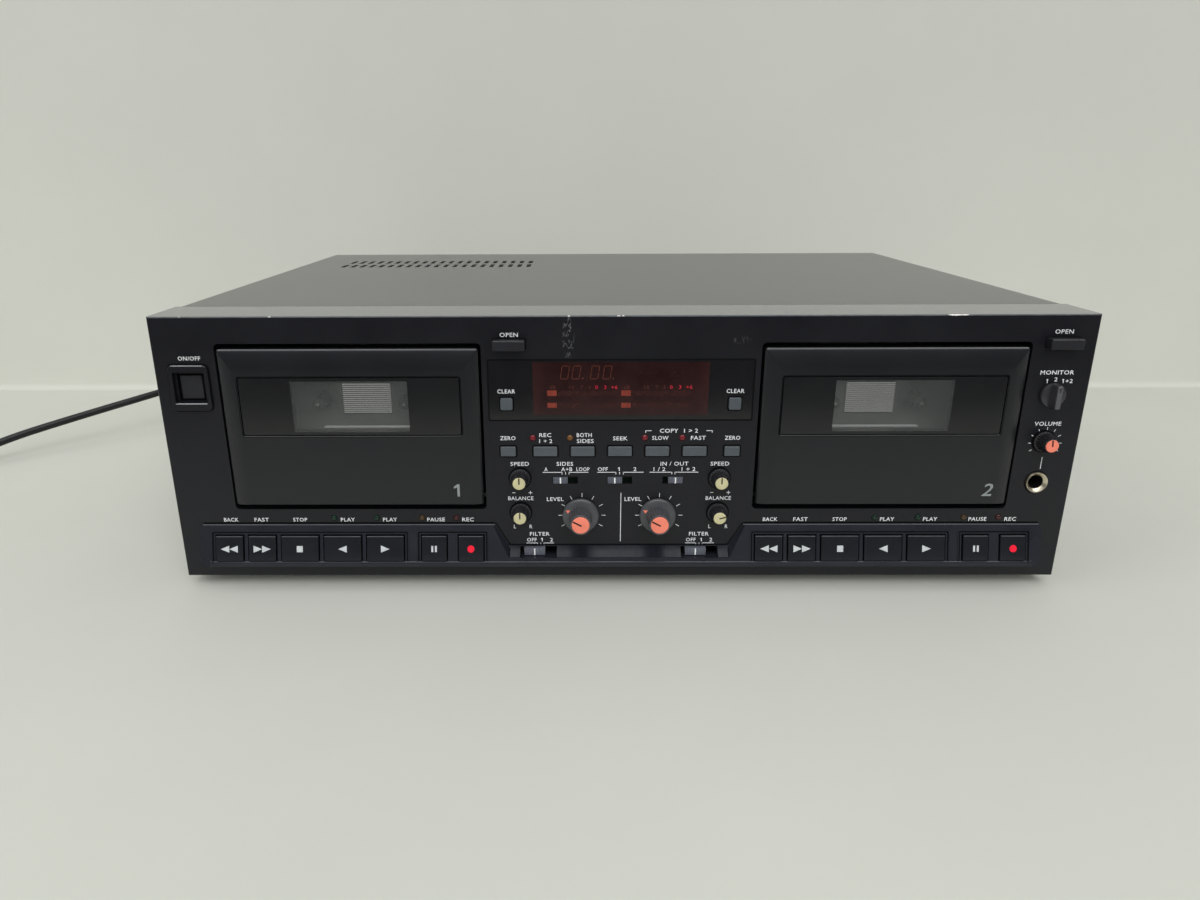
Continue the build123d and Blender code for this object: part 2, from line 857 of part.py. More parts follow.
def make_tray():
    rear_inner = body_depth - sheet
    tray = block(-tray_half, tray_half, panel_wall, body_depth, tray_bottom, tray_top)
    rear_top = panel_height - sheet - sheet_gap
    tray += block(-tray_half, tray_half, rear_inner, body_depth, tray_bottom, rear_top)
    for side in mirror_shares:
        outer = side * tray_half
        inward = outer - side * sheet
        tray += block(min(outer, inward), max(outer, inward), cover_front, body_depth, tray_bottom,
                      tray_top + tray_flange_height)
    for x, y in standoff_places():
        tray += Pos(x, y, tray_top + standoff_height / 2) * Cylinder(standoff_radius, standoff_height)
    for side, y, z in side_screw_places():
        tray -= side_bar(side, y, z, screw_shank_radius + running_clearance, tray_half - sheet - overrun,
                         tray_half + overrun)
    for x, z in rear_screw_places():
        tray -= rod(x, z, screw_shank_radius + running_clearance, rear_inner - overrun, body_depth + overrun)
    for x, z in rear_socket_places():
        tray -= rod(x, z, socket_radius + running_clearance, rear_inner - overrun, body_depth + overrun)
    relief_hole = relief_hole_radius + running_clearance
    return tray - rod(relief_x, relief_z, relief_hole, rear_inner - overrun, body_depth + overrun)


def make_screws():
    screws = []
    for side, y, z in side_screw_places():
        head = side_bar(side, y, z, screw_head_radius, cover_half, cover_half + screw_head_height)
        screws.append(head + side_bar(side, y, z, screw_shank_radius, cover_half - screw_length, cover_half))
    for x, z in rear_screw_places():
        head = rod(x, z, screw_head_radius, body_depth, body_depth + screw_head_height)
        screws.append(head + rod(x, z, screw_shank_radius, body_depth - screw_length, body_depth))
    return screws


def make_feet():
    feet = []
    for side in mirror_shares:
        for y in (foot_inset_y, body_depth - foot_inset_y):
            height = tray_bottom - floor_z
            foot = Pos(side * (half_width - foot_inset_x), y, floor_z + height / 2) * Cone(
                foot_lower_radius, foot_radius, height)
            feet.append(fillet(foot.faces().sort_by(Axis.Z)[0].edges(), foot_edge))
    return feet


# Tape mechanism: plate, ribbed reflector, head block, motor and flywheels; spindles turn in it

def make_mechanism(x):
    top = panel_height - plate_top_gap
    back = plate_depth + plate_thickness
    plate = block(x - plate_half_width, x + plate_half_width, plate_depth, back, tray_top, top)
    plate += block(x - plate_half_width, x + plate_half_width, back, back + plate_foot_depth, tray_top,
                   tray_top + plate_thickness)
    front = plate_depth - reflector_thickness
    plate += facing(x, spindle_z, reflector_width, reflector_height, front, plate_depth)
    rib_pitch = reflector_height / reflector_ribs
    rib_height = rib_pitch * reflector_rib_share
    for step in range(reflector_ribs):
        rib_z = spindle_z + (step - (reflector_ribs - 1) / 2) * rib_pitch
        plate += facing(x, rib_z, reflector_width, rib_height, front - reflector_rib, front)
    block_z = door_bottom + head_block_rise + head_block_height / 2
    block_front = plate_depth - head_block_depth
    plate += facing(x, block_z, head_block_width, head_block_height, block_front, plate_depth)
    plate += facing(x, block_z + (head_block_height + head_height) / 2, head_width, head_height,
                    block_front, block_front + head_depth)
    plate += rod(x, door_bottom + motor_rise, motor_radius, back, back + motor_length)
    for side in mirror_shares:
        plate += rod(x + side * flywheel_x, door_bottom + flywheel_rise, flywheel_radius,
                     back, back + flywheel_thickness)
        shaft_x = x + side * spindle_spacing / 2
        shaft_hole = spindle_shaft_radius + running_clearance
        plate -= rod(shaft_x, spindle_z, shaft_hole, plate_depth - overrun, back + overrun)
    return plate


def make_spindle(x):
    base = plate_depth - spindle_base_gap
    shoulder = spindle_tip_depth + spindle_tip_length
    spindle = rod(x, spindle_z, spindle_radius, shoulder, base)
    spindle += taper(x, spindle_z, spindle_tip_radius, spindle_radius, spindle_tip_depth, shoulder)
    shaft_end = plate_depth + plate_thickness + spindle_shaft_tail
    spindle += rod(x, spindle_z, spindle_shaft_radius, base, shaft_end)
    for step in range(spindle_fins):
        half_fin = spindle_fin_width / 2
        fin = block(-half_fin, half_fin, shoulder + spindle_fin_inset, base, 0, spindle_fin_reach)
        spindle += Pos(x, 0, spindle_z) * Rot(0, step * 360 / spindle_fins, 0) * fin
    return spindle


# Circuit boards with the bodies of the controls on them

def make_control_board():
    half = centre_section_width / 2 - control_board_margin
    back = control_board_depth + board_thickness
    board = block(-half, half, control_board_depth, back, control_board_bottom, display_bottom)
    for x, z in knob_places():
        if abs(x) < half:
            board += facing(x, z, pot_width, pot_width, knob_shaft_end + seat_gap, control_board_depth)
    for x, width in zip(function_x, function_widths):
        start = function_back + function_travel + seat_gap
        board += facing(x, function_z, function_height, function_height, start, control_board_depth)
    for name, x, z, width, lever, rest_side in switches:
        if z > control_board_bottom:
            board += facing(x, z, width, pot_width, lever_back + seat_gap, control_board_depth)
    return board


def make_key_board(side):
    left, right = key_board_ends(side)
    back = key_board_depth + board_thickness
    board = block(left, right, key_board_depth, back, bezel_bottom, door_opening_bottom)
    start = key_back + key_travel + seat_gap
    for x, width in key_places(side):
        board += facing(x, key_z, key_height / 2, key_height / 2, start, key_board_depth)
    return board


def standoff_places():
    rear = body_depth - main_board_rear_gap
    reach = main_board_width / 2 - standoff_inset
    ends_y = (rear - main_board_depth + standoff_inset, rear - standoff_inset)
    return [(main_board_x + side * reach, y) for side in mirror_shares for y in ends_y]


def make_main_board():
    rear = body_depth - main_board_rear_gap
    low = tray_top + standoff_height
    top = low + board_thickness
    left = main_board_x - main_board_width / 2
    board = block(left, left + main_board_width, rear - main_board_depth, rear, low, top)
    for step in range(capacitor_count):
        x = left + (step + 1) * main_board_width / (capacitor_count + 1)
        y = rear - main_board_depth / 2
        board += Pos(x, y, top + capacitor_height / 2) * Cylinder(capacitor_radius, capacitor_height)
    sink_y = rear - main_board_depth / 4
    sink_x = left + standoff_inset
    return board + block(sink_x, sink_x + heat_sink_width, sink_y, sink_y + heat_sink_thickness,
                         top, top + heat_sink_height)


def make_transformer():
    y = body_depth - transformer_rear_gap
    foot_top = tray_top + transformer_foot_thickness
    core_z = foot_top + core_height / 2
    half = core_width / 2
    core = block(transformer_x - half, transformer_x + half, y - core_depth / 2, y + core_depth / 2, foot_top,
                 foot_top + core_height)
    core += Pos(transformer_x, y, core_z) * Box(winding_width, winding_depth, winding_height)
    half_foot = transformer_foot_width / 2
    return core + block(transformer_x - half_foot, transformer_x + half_foot,
                        y - core_depth / 2, y + core_depth / 2, tray_top, foot_top)


# Mains lead: strain relief, free stretch, coil of two layers and a two-pin plug

def corner_radii(points):
    radii = []
    for before, corner, after in zip(points, points[1:], points[2:]):
        run_in = Vector(corner) - Vector(before)
        run_out = Vector(after) - Vector(corner)
        half_turn = radians(run_in.get_angle(run_out)) / 2
        radii.append(cord_bend_share * min(run_in.length, run_out.length) / tan(half_turn))
    return radii


def sweep_cord(path):
    start = path.position_at(0)
    section = Plane(start, z_dir=path.tangent_at(0)) * Circle(cord_diameter / 2)
    return sweep(section, path=path)


def make_cord_stretch():
    radii = corner_radii(cord_route)
    path = FilletPolyline(*cord_route, radius=radii)
    stretch = sweep_cord(path)
    print("cord radii", [round(radius, 1) for radius in radii], "length", round(path.length, 1))
    print("cord volume share", round(stretch.volume / (path.length * pi * (cord_diameter / 2) ** 2), 4))
    return stretch


# The coil winds in on the floor in half circles, climbs one layer in a half turn, and winds out on top

def coil_path():
    start_x, start_y, low_z = cord_route[-1]
    top_z = low_z + coil_pitch
    side_y = start_y - cord_diameter
    edges = [Line((start_x, start_y, low_z), (start_x, side_y, low_z))]
    x, heading, z = start_x, -1, low_z

    def half_circle(radius):
        nonlocal x, heading
        end = x + heading * 2 * radius
        middle = (x + end) / 2
        edges.append(ThreePointArc((x, side_y, z), (middle, side_y + heading * radius, z), (end, side_y, z)))
        x, heading = end, -heading

    for step in range(coil_half_turns):
        half_circle(coil_radius - step * coil_pitch / 2)
    inner = coil_radius - coil_half_turns * coil_pitch / 2
    depth = sqrt(inner ** 2 + (coil_pitch / 2) ** 2)
    end = x + heading * 2 * inner
    crest = ((x + end) / 2, side_y + heading * depth, (low_z + top_z) / 2)
    edges.append(TangentArc((x, side_y, low_z), crest, tangent=(0, heading, 0)))
    edges.append(TangentArc(crest, (end, side_y, top_z), tangent=(end - x, 0, top_z - low_z)))
    x, heading, z = end, -heading, top_z
    for step in range(coil_half_turns):
        half_circle(inner + (step + 1) * coil_pitch / 2)
    edges.append(Line((x, side_y, z), (x, side_y + heading * coil_tail, z)))
    return Wire([edge for line in edges for edge in line.edges()])


def least_self_gap(path):
    count = int(path.length / (cord_diameter / 2))
    points = [path.position_at(step / count) for step in range(count + 1)]
    pairs = [(first, second) for first in range(count) for second in range(first + self_gap_skip, count + 1)]
    return min((points[first] - points[second]).length for first, second in pairs) - cord_diameter


def make_cord_coil(path):
    coil = sweep_cord(path)
    print("coil length", round(path.length, 1), "least self gap", round(least_self_gap(path), 3))
    print("coil volume share", round(coil.volume / (path.length * pi * (cord_diameter / 2) ** 2), 4))
    return coil


def make_strain_relief():
    relief = rod(relief_x, relief_z, relief_hole_radius, body_depth - sheet - relief_inner_length, body_depth)
    relief += rod(relief_x, relief_z, relief_flange_radius, body_depth, body_depth + relief_flange)
    boot_start = body_depth + relief_flange
    return relief + taper(relief_x, relief_z, relief_boot_base, relief_boot_tip, boot_start, relief_end)


def make_plug(path):
    x, y, z = tuple(path.position_at(1))
    body_start = y + plug_boot_length
    body_end = body_start + plug_length
    plug = rounded_facing(x, z, plug_width, plug_thickness, body_start, body_end, plug_corner)
    plug += rod(x, z, plug_boot_radius, y, body_start)
    for side in mirror_shares:
        plug += rod(x + side * plug_pin_spacing / 2, z, plug_pin_radius, body_end, body_end + plug_pin_length)
    return plug


# Every piece is written to its own file

save("front_panel", make_front_panel())
save("transport_bezel", make_transport_bezel())
save("display_window", make_display_window())
save("indicator_lamps", *[make_lamp(x, z) for x, z in lamp_places()])
save("top_cover", make_top_cover())
save("chassis_tray", make_tray())
save("rubber_feet", *make_feet())
save("cover_screws", *make_screws())
save("jack_sockets", make_phones_jack(), *[make_rear_socket(x, z) for x, z in rear_socket_places()])
save("tape_mechanisms", *[make_mechanism(side * door_centre) for side in mirror_shares])
key_boards = [make_key_board(side) for side in mirror_shares]
save("circuit_boards", make_control_board(), make_main_board(), *key_boards)
save("power_transformer", make_transformer())

for number, side in enumerate(mirror_shares, 1):
    save(f"cassette_door_{number}", *make_door(side * door_centre))
    save(f"supply_spindle_{number}", make_spindle(side * door_centre - spindle_spacing / 2))
    save(f"takeup_spindle_{number}", make_spindle(side * door_centre + spindle_spacing / 2))
    save(f"pitch_knob_{number}", make_trim_knob(side * trim_knob_x, pitch_z))
    save(f"balance_knob_{number}", make_trim_knob(side * trim_knob_x, balance_z))
    save(f"input_knob_{number}", make_input_knob(side * input_knob_x, input_z))
    save(f"reset_button_{number}", make_button(side * reset_x, reset_z, reset_size, reset_size, -reset_reach,
                                               function_back, reset_corner))
    for name, (x, width) in zip(key_names, key_places(side)):
        save(f"{name}_{number}", make_key(x, width))

for number, x in enumerate((-eject_x, control_x), 1):
    save(f"eject_button_{number}", make_button(x, eject_z, eject_width, eject_height, -eject_reach, eject_back,
                                               button_corner))
for name, x, width in zip(function_names, function_x, function_widths):
    save(name, make_button(x, function_z, width, function_height, -function_reach, function_back,
                           button_corner))
for name, x, z, slot_width, lever_width, rest_side in switches:
    noisy = name.startswith("noise")
    height = noise_lever_height if noisy else lever_height
    reach = noise_lever_reach if noisy else lever_reach
    lever_x = lever_place(name, x, slot_width, lever_width, rest_side)
    save(name, make_lever(lever_x, z, lever_width, height, reach))
save("power_button", make_button(-control_x, power_z, power_button_width, power_button_height,
                                 power_button_depth, power_button_back, button_corner))
save("phones_selector", make_selector())
save("phones_level_knob", make_trim_knob(phones_x, phones_knob_z))

lead_coil_path = coil_path()
save("cord_stretch", make_cord_stretch())
save("cord_coil", make_cord_coil(lead_coil_path))
save("cord_ends", make_strain_relief(), make_plug(lead_coil_path))
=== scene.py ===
import math

import bmesh
import bpy
import numpy as np
from mathutils import Matrix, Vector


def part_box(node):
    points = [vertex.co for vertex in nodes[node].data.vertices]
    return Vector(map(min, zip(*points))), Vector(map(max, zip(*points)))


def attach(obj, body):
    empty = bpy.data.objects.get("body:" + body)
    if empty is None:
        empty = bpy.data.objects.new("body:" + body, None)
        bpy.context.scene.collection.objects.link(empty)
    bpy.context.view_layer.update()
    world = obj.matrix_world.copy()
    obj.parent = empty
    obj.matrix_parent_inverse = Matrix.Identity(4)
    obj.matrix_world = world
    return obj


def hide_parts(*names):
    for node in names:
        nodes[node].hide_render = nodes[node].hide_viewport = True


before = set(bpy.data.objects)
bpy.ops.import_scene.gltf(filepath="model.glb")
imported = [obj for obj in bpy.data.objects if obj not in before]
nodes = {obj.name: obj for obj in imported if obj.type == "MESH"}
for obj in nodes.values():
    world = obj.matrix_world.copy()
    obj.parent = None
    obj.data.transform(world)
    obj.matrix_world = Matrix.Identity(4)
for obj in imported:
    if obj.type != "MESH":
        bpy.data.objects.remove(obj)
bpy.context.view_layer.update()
caseBody = "deck_case"
mm = 0.001
skirtDepth = 30.5  # the panel's rim reaches this far back from its face, mm
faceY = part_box("front_panel")[1].y - skirtDepth * mm
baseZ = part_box("front_panel")[0].z
decks = (1, 2)
print("frame loaded:", len(nodes), "nodes")


# Places are written in panel millimetres: across, back from the face, up from the lower edge

def toFrame(points):
    return np.asarray(points, float) * mm + np.array([0.0, faceY, baseZ])


def toPanel(corner):
    return (np.array(corner) - np.array([0.0, faceY, baseZ])) / mm


def spread(node):
    low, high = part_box(node)
    return toPanel(low), toPanel(high)


def spot(node):
    low, high = spread(node)
    return (low + high) / 2


# Shapes: each returns its points and a list of face arrays

def gridFaces(rows, columns, wrapRows=False, wrapColumns=False):
    # quads between neighbouring lines of a grid of points, a wrapped way joining its last line to its first
    row = np.arange(rows if wrapRows else rows - 1)
    column = np.arange(columns if wrapColumns else columns - 1)
    row, column = np.meshgrid(row, column, indexing="ij")
    nextRow, nextColumn = (row + 1) % rows, (column + 1) % columns
    corners = [row * columns + column, row * columns + nextColumn,
               nextRow * columns + nextColumn, nextRow * columns + column]
    return np.stack(corners, -1).reshape(-1, 4)


def lofted(loops):
    # loops of equally many points, each joined to the next, with the first and the last filled
    loops = np.asarray(loops, float)
    rows, count = loops.shape[:2]
    ring = np.arange(count)[None]
    return loops.reshape(-1, 3), [gridFaces(rows, count, wrapColumns=True), ring, ring + count * (rows - 1)]


def turned(profile, centre, sides=48, flutes=0, fluteDepth=0.0):
    # rows of (radius, depth), or of (radius, depth, grip), swept round an axis that points out of the panel;
    # a gripped row's radius falls by fluteDepth in each cosine groove
    profile = np.array(profile, float)
    radius, depth = profile.T[:2, :, None]
    grip = profile[:, 2:].sum(1, keepdims=True)
    angle = np.linspace(0, 2 * math.pi, sides, endpoint=False)[None]
    radius = radius * (1 - fluteDepth * grip * (0.5 - 0.5 * np.cos(flutes * angle)))
    x = centre[0] + radius * np.sin(angle)
    z = centre[1] + radius * np.cos(angle)
    points = np.stack([x, np.broadcast_to(depth, x.shape), z], -1)
    return points.reshape(-1, 3), [gridFaces(len(profile), sides, wrapColumns=True)]


def framed(rings, steps=4, hollow=False):
    # rings of (left, right, low, high, depth, corner): rounded rectangles, each joined to the next;
    # a hollow shape joins the last ring to the first, a solid one has its end rings filled
    left, right, low, high, depth, corner = np.array(rings, float).T[:, :, None]
    quarter = np.repeat(np.arange(4), steps)[None]
    angle = (quarter - 1) * math.pi / 2 + np.tile(np.linspace(0, math.pi / 2, steps), 4)[None]
    onRight, onTop = quarter < 2, (quarter == 1) | (quarter == 2)
    x = np.where(onRight, right - corner, left + corner) + corner * np.cos(angle)
    z = np.where(onTop, high - corner, low + corner) + corner * np.sin(angle)
    points = np.stack([x, np.broadcast_to(depth, x.shape), z], -1)
    if hollow:
        return points.reshape(-1, 3), [gridFaces(*x.shape, wrapRows=True, wrapColumns=True)]
    return lofted(points)


def ringAt(x, z, wide, tall, depth, corner):
    return (x - wide / 2, x + wide / 2, z - tall / 2, z + tall / 2, depth, corner)


def slab(left, right, low, high, front, back, corner, edge):
    # a block with rounded corners and a small chamfer round its front
    return framed([(left + edge, right - edge, low + edge, high - edge, front, corner),
                   (left, right, low, high, front + edge, corner + edge),
                   (left, right, low, high, back, corner + edge)])


def raised(outline, depth, lift):
    # a flat mark with thickness: its outline at a depth, and again lifted towards the front
    x, z = np.asarray(outline, float).T
    return lofted([np.c_[x, np.full(len(x), place), z] for place in (depth, depth - lift)])


def ledge(left, right, profile):
    # a closed profile of (depth, height) carried along x
    return lofted([np.c_[np.full(len(profile), x), np.array(profile, float)] for x in (left, right)])


def carried(front, back):
    # closes a grid of front points with the same grid moved back; its first and last rows are the ends
    return lofted(np.concatenate([front, back[:, ::-1]], 1))


def slopedTo(shape, depthAt):
    # moves a flat mark so that it lies on a face whose depth depends on the height
    points, faces = shape
    points = points.copy()
    points[:, 1] += depthAt(points[:, 2])
    return points, faces


def bar(start, end, width):
    # outline of a straight stroke of that width
    start, end = np.array(start, float), np.array(end, float)
    along = (end - start) / np.linalg.norm(end - start)
    across = np.array([-along[1], along[0]]) * width / 2
    return np.array([start - across, end - across, end + across, start + across])


def radial(x, z, inner, outer, width, turn):
    # a stroke from one radius to another, turned clockwise from the top
    toward = np.array([math.sin(math.radians(turn)), math.cos(math.radians(turn))])
    centre = np.array([x, z])
    return bar(centre + inner * toward, centre + outer * toward, width)


def disc(x, z, radius, count=28):
    angle = np.linspace(0, 2 * math.pi, count, endpoint=False)
    return np.c_[x + radius * np.cos(angle), z + radius * np.sin(angle)]


def oblong(left, right, low, high):
    return np.array([(left, low), (right, low), (right, high), (left, high)], float)


def linked(name, data):
    made = bpy.data.objects.new(name, data)
    bpy.context.scene.collection.objects.link(made)
    return made


def addPiece(name, shapes, material, body=caseBody, replaced=(), sharp=32, weighted=False):
    points, faces, start = [], [], 0
    for shapePoints, shapeFaces in shapes:
        points.append(shapePoints)
        for block in shapeFaces:
            faces += (block + start).tolist()
        start += len(shapePoints)
    mesh = bpy.data.meshes.new(name)
    mesh.from_pydata(toFrame(np.concatenate(points)).tolist(), [], faces)
    tool = bmesh.new()
    tool.from_mesh(mesh)
    bmesh.ops.remove_doubles(tool, verts=tool.verts, dist=2e-7)
    bmesh.ops.recalc_face_normals(tool, faces=tool.faces)
    tool.to_mesh(mesh)
    tool.free()
    mesh.polygons.foreach_set("use_smooth", np.ones(len(mesh.polygons), bool))
    mesh.set_sharp_from_angle(angle=math.radians(sharp))
    mesh.materials.append(material)
    piece = linked(name, mesh)
    if weighted:  # large flat faces keep their own shading beside narrow rounded ones
        piece.modifiers.new("flatFaces", "WEIGHTED_NORMAL").keep_sharp = True
    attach(piece, body)
    if replaced:
        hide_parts(*replaced)
    return piece


# Lettering: words become closed letters with a little thickness

lettering = dict(bold=0.009, spacing=1.08, wider=1.15, roundness=2, lift=0.04, sink=0.02)
figureOne = [(0.58, 0.0), (1.0, 0.0), (1.0, 1.0), (0.66, 1.0), (0.0, 0.80), (0.0, 0.64), (0.58, 0.74)]


def wordMesh(text, shear=0.0):
    curve = bpy.data.curves.new("word", "FONT")
    curve.body = text
    curve.offset = lettering["bold"]
    curve.space_character = lettering["spacing"]
    curve.shear = shear
    curve.resolution_u = lettering["roundness"]
    curve.extrude = 0.5
    holder = linked("word", curve)
    bpy.context.view_layer.update()
    made = bpy.data.meshes.new_from_object(holder.evaluated_get(bpy.context.evaluated_depsgraph_get()))
    points = np.array([vertex.co for vertex in made.vertices])
    faces = [np.array([face.vertices]) for face in made.polygons]
    bpy.data.objects.remove(holder)
    bpy.data.curves.remove(curve)
    bpy.data.meshes.remove(made)
    return points, faces


capHeight = np.ptp(wordMesh("H")[0][:, 1])


def mark(outline, depth=0.0):
    return raised(outline, depth + lettering["sink"], lettering["lift"] + lettering["sink"])


def word(text, left, right, middle, tall, depth=0.0, shear=0.0):
    # letters as high as tall, squeezed to fit between left and right, or centred there a little wide,
    # lying on a face at a depth
    if text == "1":
        return mark(np.array(figureOne) * [right - left, tall] + [left, middle - tall / 2], depth)
    flat, faces = wordMesh(text, shear)
    low, high = flat.min(0), flat.max(0)
    long = high[0] - low[0]
    wide = min(right - left, long * tall / capHeight * lettering["wider"])
    x = (left + right - wide) / 2 + (flat[:, 0] - low[0]) * wide / long
    y = depth + lettering["sink"] - (lettering["lift"] + lettering["sink"]) * (flat[:, 2] + 0.5)
    z = middle + (flat[:, 1] - capHeight / 2) * tall / capHeight
    return np.stack([x, y, z], -1), faces


def border(ring, inner, outer):
    # a thin flat frame lying round a rectangle, from one distance outside it to another
    left, right, low, high, depth, corner = ring
    back, front = depth + lettering["sink"], depth - lettering["lift"]
    return framed([(left - out, right + out, low - out, high + out, place, corner + out)
                   for out, place in ((outer, back), (outer, front), (inner, front), (inner, back))],
                  hollow=True)


# Materials: node finishes on Object coordinates

def connect(tree, node, inputs):
    for key, value in inputs.items():
        if isinstance(value, bpy.types.NodeSocket):
            tree.links.new(value, node.inputs[key])
        else:
            node.inputs[key].default_value = value


def addNode(tree, kind, inputs=None, **settings):
    made = tree.nodes.new("ShaderNode" + kind)
    for key, value in settings.items():
        setattr(made, key, value)
    connect(tree, made, inputs or {})
    return made


def compute(tree, operation, first, second=0.5):
    return addNode(tree, "Math", {0: first, 1: second}, operation=operation).outputs[0]


def ranged(tree, value, fromLow, fromHigh, low=0.0, high=1.0):
    return addNode(tree, "MapRange", {"Value": value, "From Min": fromLow, "From Max": fromHigh,
                                      "To Min": low, "To Max": high}).outputs["Result"]


def split(tree, vector):
    return addNode(tree, "SeparateXYZ", {0: vector}).outputs


def objectPlace(tree):
    return addNode(tree, "TexCoord").outputs["Object"]


def addRamp(tree, factor, stops):
    ramp = addNode(tree, "ValToRGB", {"Fac": factor})
    elements = ramp.color_ramp.elements
    while len(elements) < len(stops):
        elements.new(0.5)
    for element, (position, colour) in zip(elements, stops):
        element.position = position
        element.color = (*colour, 1.0)
    return ramp.outputs["Color"]


noise = dict(low=0.3, high=0.7, detail=6.0, roughness=0.6, grainDetail=2.0, grainHeight=0.00004)


def finish(name, colour, rough, shift=0.15, roughShift=0.04, cloud=60.0, grain=2500.0, lift=0.25,
           stretch=None, specular=0.5, metallic=0.0, glow=((1.0, 1.0, 1.0), 0.0), alpha=1.0):
    # a slow noise shifts colour and gloss a little, and a fine one lifts the surface;
    # a glow is a colour and its strength
    material = bpy.data.materials.new(name)
    material.use_nodes = True
    tree = material.node_tree
    where = objectPlace(tree)
    if stretch:
        where = addNode(tree, "Mapping", {"Vector": where, "Scale": stretch}).outputs[0]
    slow = addNode(tree, "TexNoise", {"Vector": where, "Scale": cloud, "Detail": noise["detail"],
                                      "Roughness": noise["roughness"]}).outputs["Fac"]
    fine = addNode(tree, "TexNoise", {"Vector": where, "Scale": grain, "Detail": noise["grainDetail"]})
    colour = np.array(colour, float)
    bump = addNode(tree, "Bump", {"Height": fine.outputs["Fac"], "Strength": lift,
                                  "Distance": noise["grainHeight"]})
    connect(tree, tree.nodes["Principled BSDF"], {
        "Base Color": addRamp(tree, slow, [(noise["low"], colour * (1 - shift)),
                                           (noise["high"], np.minimum(colour * (1 + shift), 1.0))]),
        "Roughness": ranged(tree, slow, noise["low"], noise["high"],
                            rough - roughShift, rough + roughShift),
        "Normal": bump.outputs["Normal"], "Specular IOR Level": specular, "Metallic": metallic,
        "Emission Color": (*glow[0], 1.0), "Emission Strength": glow[1], "Alpha": alpha})
    return material


def overlay(material, factor, colour, rough=None):
    # paints a second colour over the base colour where the factor is high, and may change the gloss there
    tree = material.node_tree
    shader = tree.nodes["Principled BSDF"]
    base, gloss = (shader.inputs[key].links[0].from_socket for key in ("Base Color", "Roughness"))
    mix = addNode(tree, "Mix", {0: factor, 6: base, 7: (*colour, 1.0)}, data_type="RGBA")
    tree.links.new(mix.outputs[2], shader.inputs["Base Color"])
    if rough is not None:
        mix = addNode(tree, "Mix", {0: factor, 2: gloss, 3: rough}, data_type="FLOAT")
        tree.links.new(mix.outputs[0], shader.inputs["Roughness"])


scuffAndSheen = dict(level=(0.75, 0.95), stretch=(1.0, 1.0, 0.4), detail=3.0, roughness=0.7, soft=0.4,
            inside=(0.05, 0.45))


def upward(tree, above):
    # 1 on faces that look up and lie above a panel height, 0 on all others: the mask of the panel's painted
    # sheen
    normal = addNode(tree, "NewGeometry").outputs["Normal"]
    level = ranged(tree, split(tree, normal)["Z"], *scuffAndSheen["level"])
    over = compute(tree, "GREATER_THAN", split(tree, objectPlace(tree))["Z"], baseZ + above * mm)
    return compute(tree, "MULTIPLY", level, over)


def patch(tree, centre, size):
    # 1 at the middle of a stretched ball round a panel place, falling to 0 at its rim
    local = addNode(tree, "Mapping", {"Vector": objectPlace(tree), "Location": tuple(toFrame(centre)),
                                      "Scale": tuple(np.array(size) * mm)}, vector_type="TEXTURE").outputs[0]
    return addNode(tree, "TexGradient", {"Vector": local}, gradient_type="SPHERICAL").outputs["Fac"]


def speckle(tree, scale, size):
    # sparse round dots: 1 inside the given share of each cell's size
    cell = addNode(tree, "TexVoronoi", {"Vector": objectPlace(tree), "Scale": scale})
    return compute(tree, "LESS_THAN", cell.outputs["Distance"], size)


def streaks(tree, mask, scale, width):
    # broken scratches: thin lines where a stretched noise crosses its middle, kept inside a patch
    place = addNode(tree, "Mapping", {"Vector": objectPlace(tree), "Scale": scuffAndSheen["stretch"]}).outputs[0]
    wave = addNode(tree, "TexNoise", {"Vector": place, "Scale": scale, "Detail": scuffAndSheen["detail"],
                                      "Roughness": scuffAndSheen["roughness"]}).outputs["Fac"]
    away = compute(tree, "ABSOLUTE", compute(tree, "SUBTRACT", wave, 0.5))
    line = ranged(tree, away, width, width * scuffAndSheen["soft"])
    return compute(tree, "MULTIPLY", line, ranged(tree, mask, *scuffAndSheen["inside"]))


def dress(material, *names):
    for name in names:
        nodes[name].data.materials.clear()
        nodes[name].data.materials.append(material)


# Front panel: satin black, with a scuff above the display, chips along the top edge, a few specks, and a
# painted sheen on the top of its rim

panelLook = dict(colour=(0.0078, 0.0078, 0.0106), shift=0.12, rough=0.36, roughShift=0.05, cloud=45.0,
                 grain=3800.0, lift=0.22, specular=0.36)
panelWearAndSheen = dict(  # scuffs: centre, size, scale and width of the scratches, colour
    scuffs=[((-24.6, 0.0, 122.5), (3.3, 8.0, 13.0), 330.0, 0.017, (0.15, 0.15, 0.15)),
            ((55.5, 0.0, 120.6), (5.0, 6.0, 2.2), 420.0, 0.035, (0.06, 0.06, 0.06))],
    speckScale=55.0, speckSize=0.012, speck=(0.16, 0.16, 0.16),
    topAbove=120.0, topSheenColour=(0.19, 0.19, 0.185), topRough=0.16)


def makePanelFinish():
    material = finish("satinBlack", **panelLook)
    tree = material.node_tree
    for centre, size, scale, width, colour in panelWearAndSheen["scuffs"]:
        overlay(material, streaks(tree, patch(tree, centre, size), scale, width), colour)
    overlay(material, speckle(tree, panelWearAndSheen["speckScale"], panelWearAndSheen["speckSize"]), panelWearAndSheen["speck"])
    # painted sheen: faces that look up near the top are painted lighter, for the light the rim's top
    # reflects, and made smoother
    overlay(material, upward(tree, panelWearAndSheen["topAbove"]), panelWearAndSheen["topSheenColour"], panelWearAndSheen["topRough"])
    return material


panelFinish = makePanelFinish()
dress(panelFinish, "front_panel")

chips = dict(radius=0.8, proud=0.035, colour=(0.62, 0.60, 0.56), line=(0.050, 0.056, 0.064),
             shineAngles=(0.06, 0.27), shineInset=1.0, blunt=0.6, swing=0.28, waves=(19, 41),
             places=[(149.0, 155.0, 0.95), (154.0, 158.5, 0.6), (-162.6, -161.2, 0.5), (-2.2, -0.6, 0.5),
                     (0.2, 1.3, 0.45), (-24.8, -23.6, 0.5), (-204.0, -203.2, 0.35)])


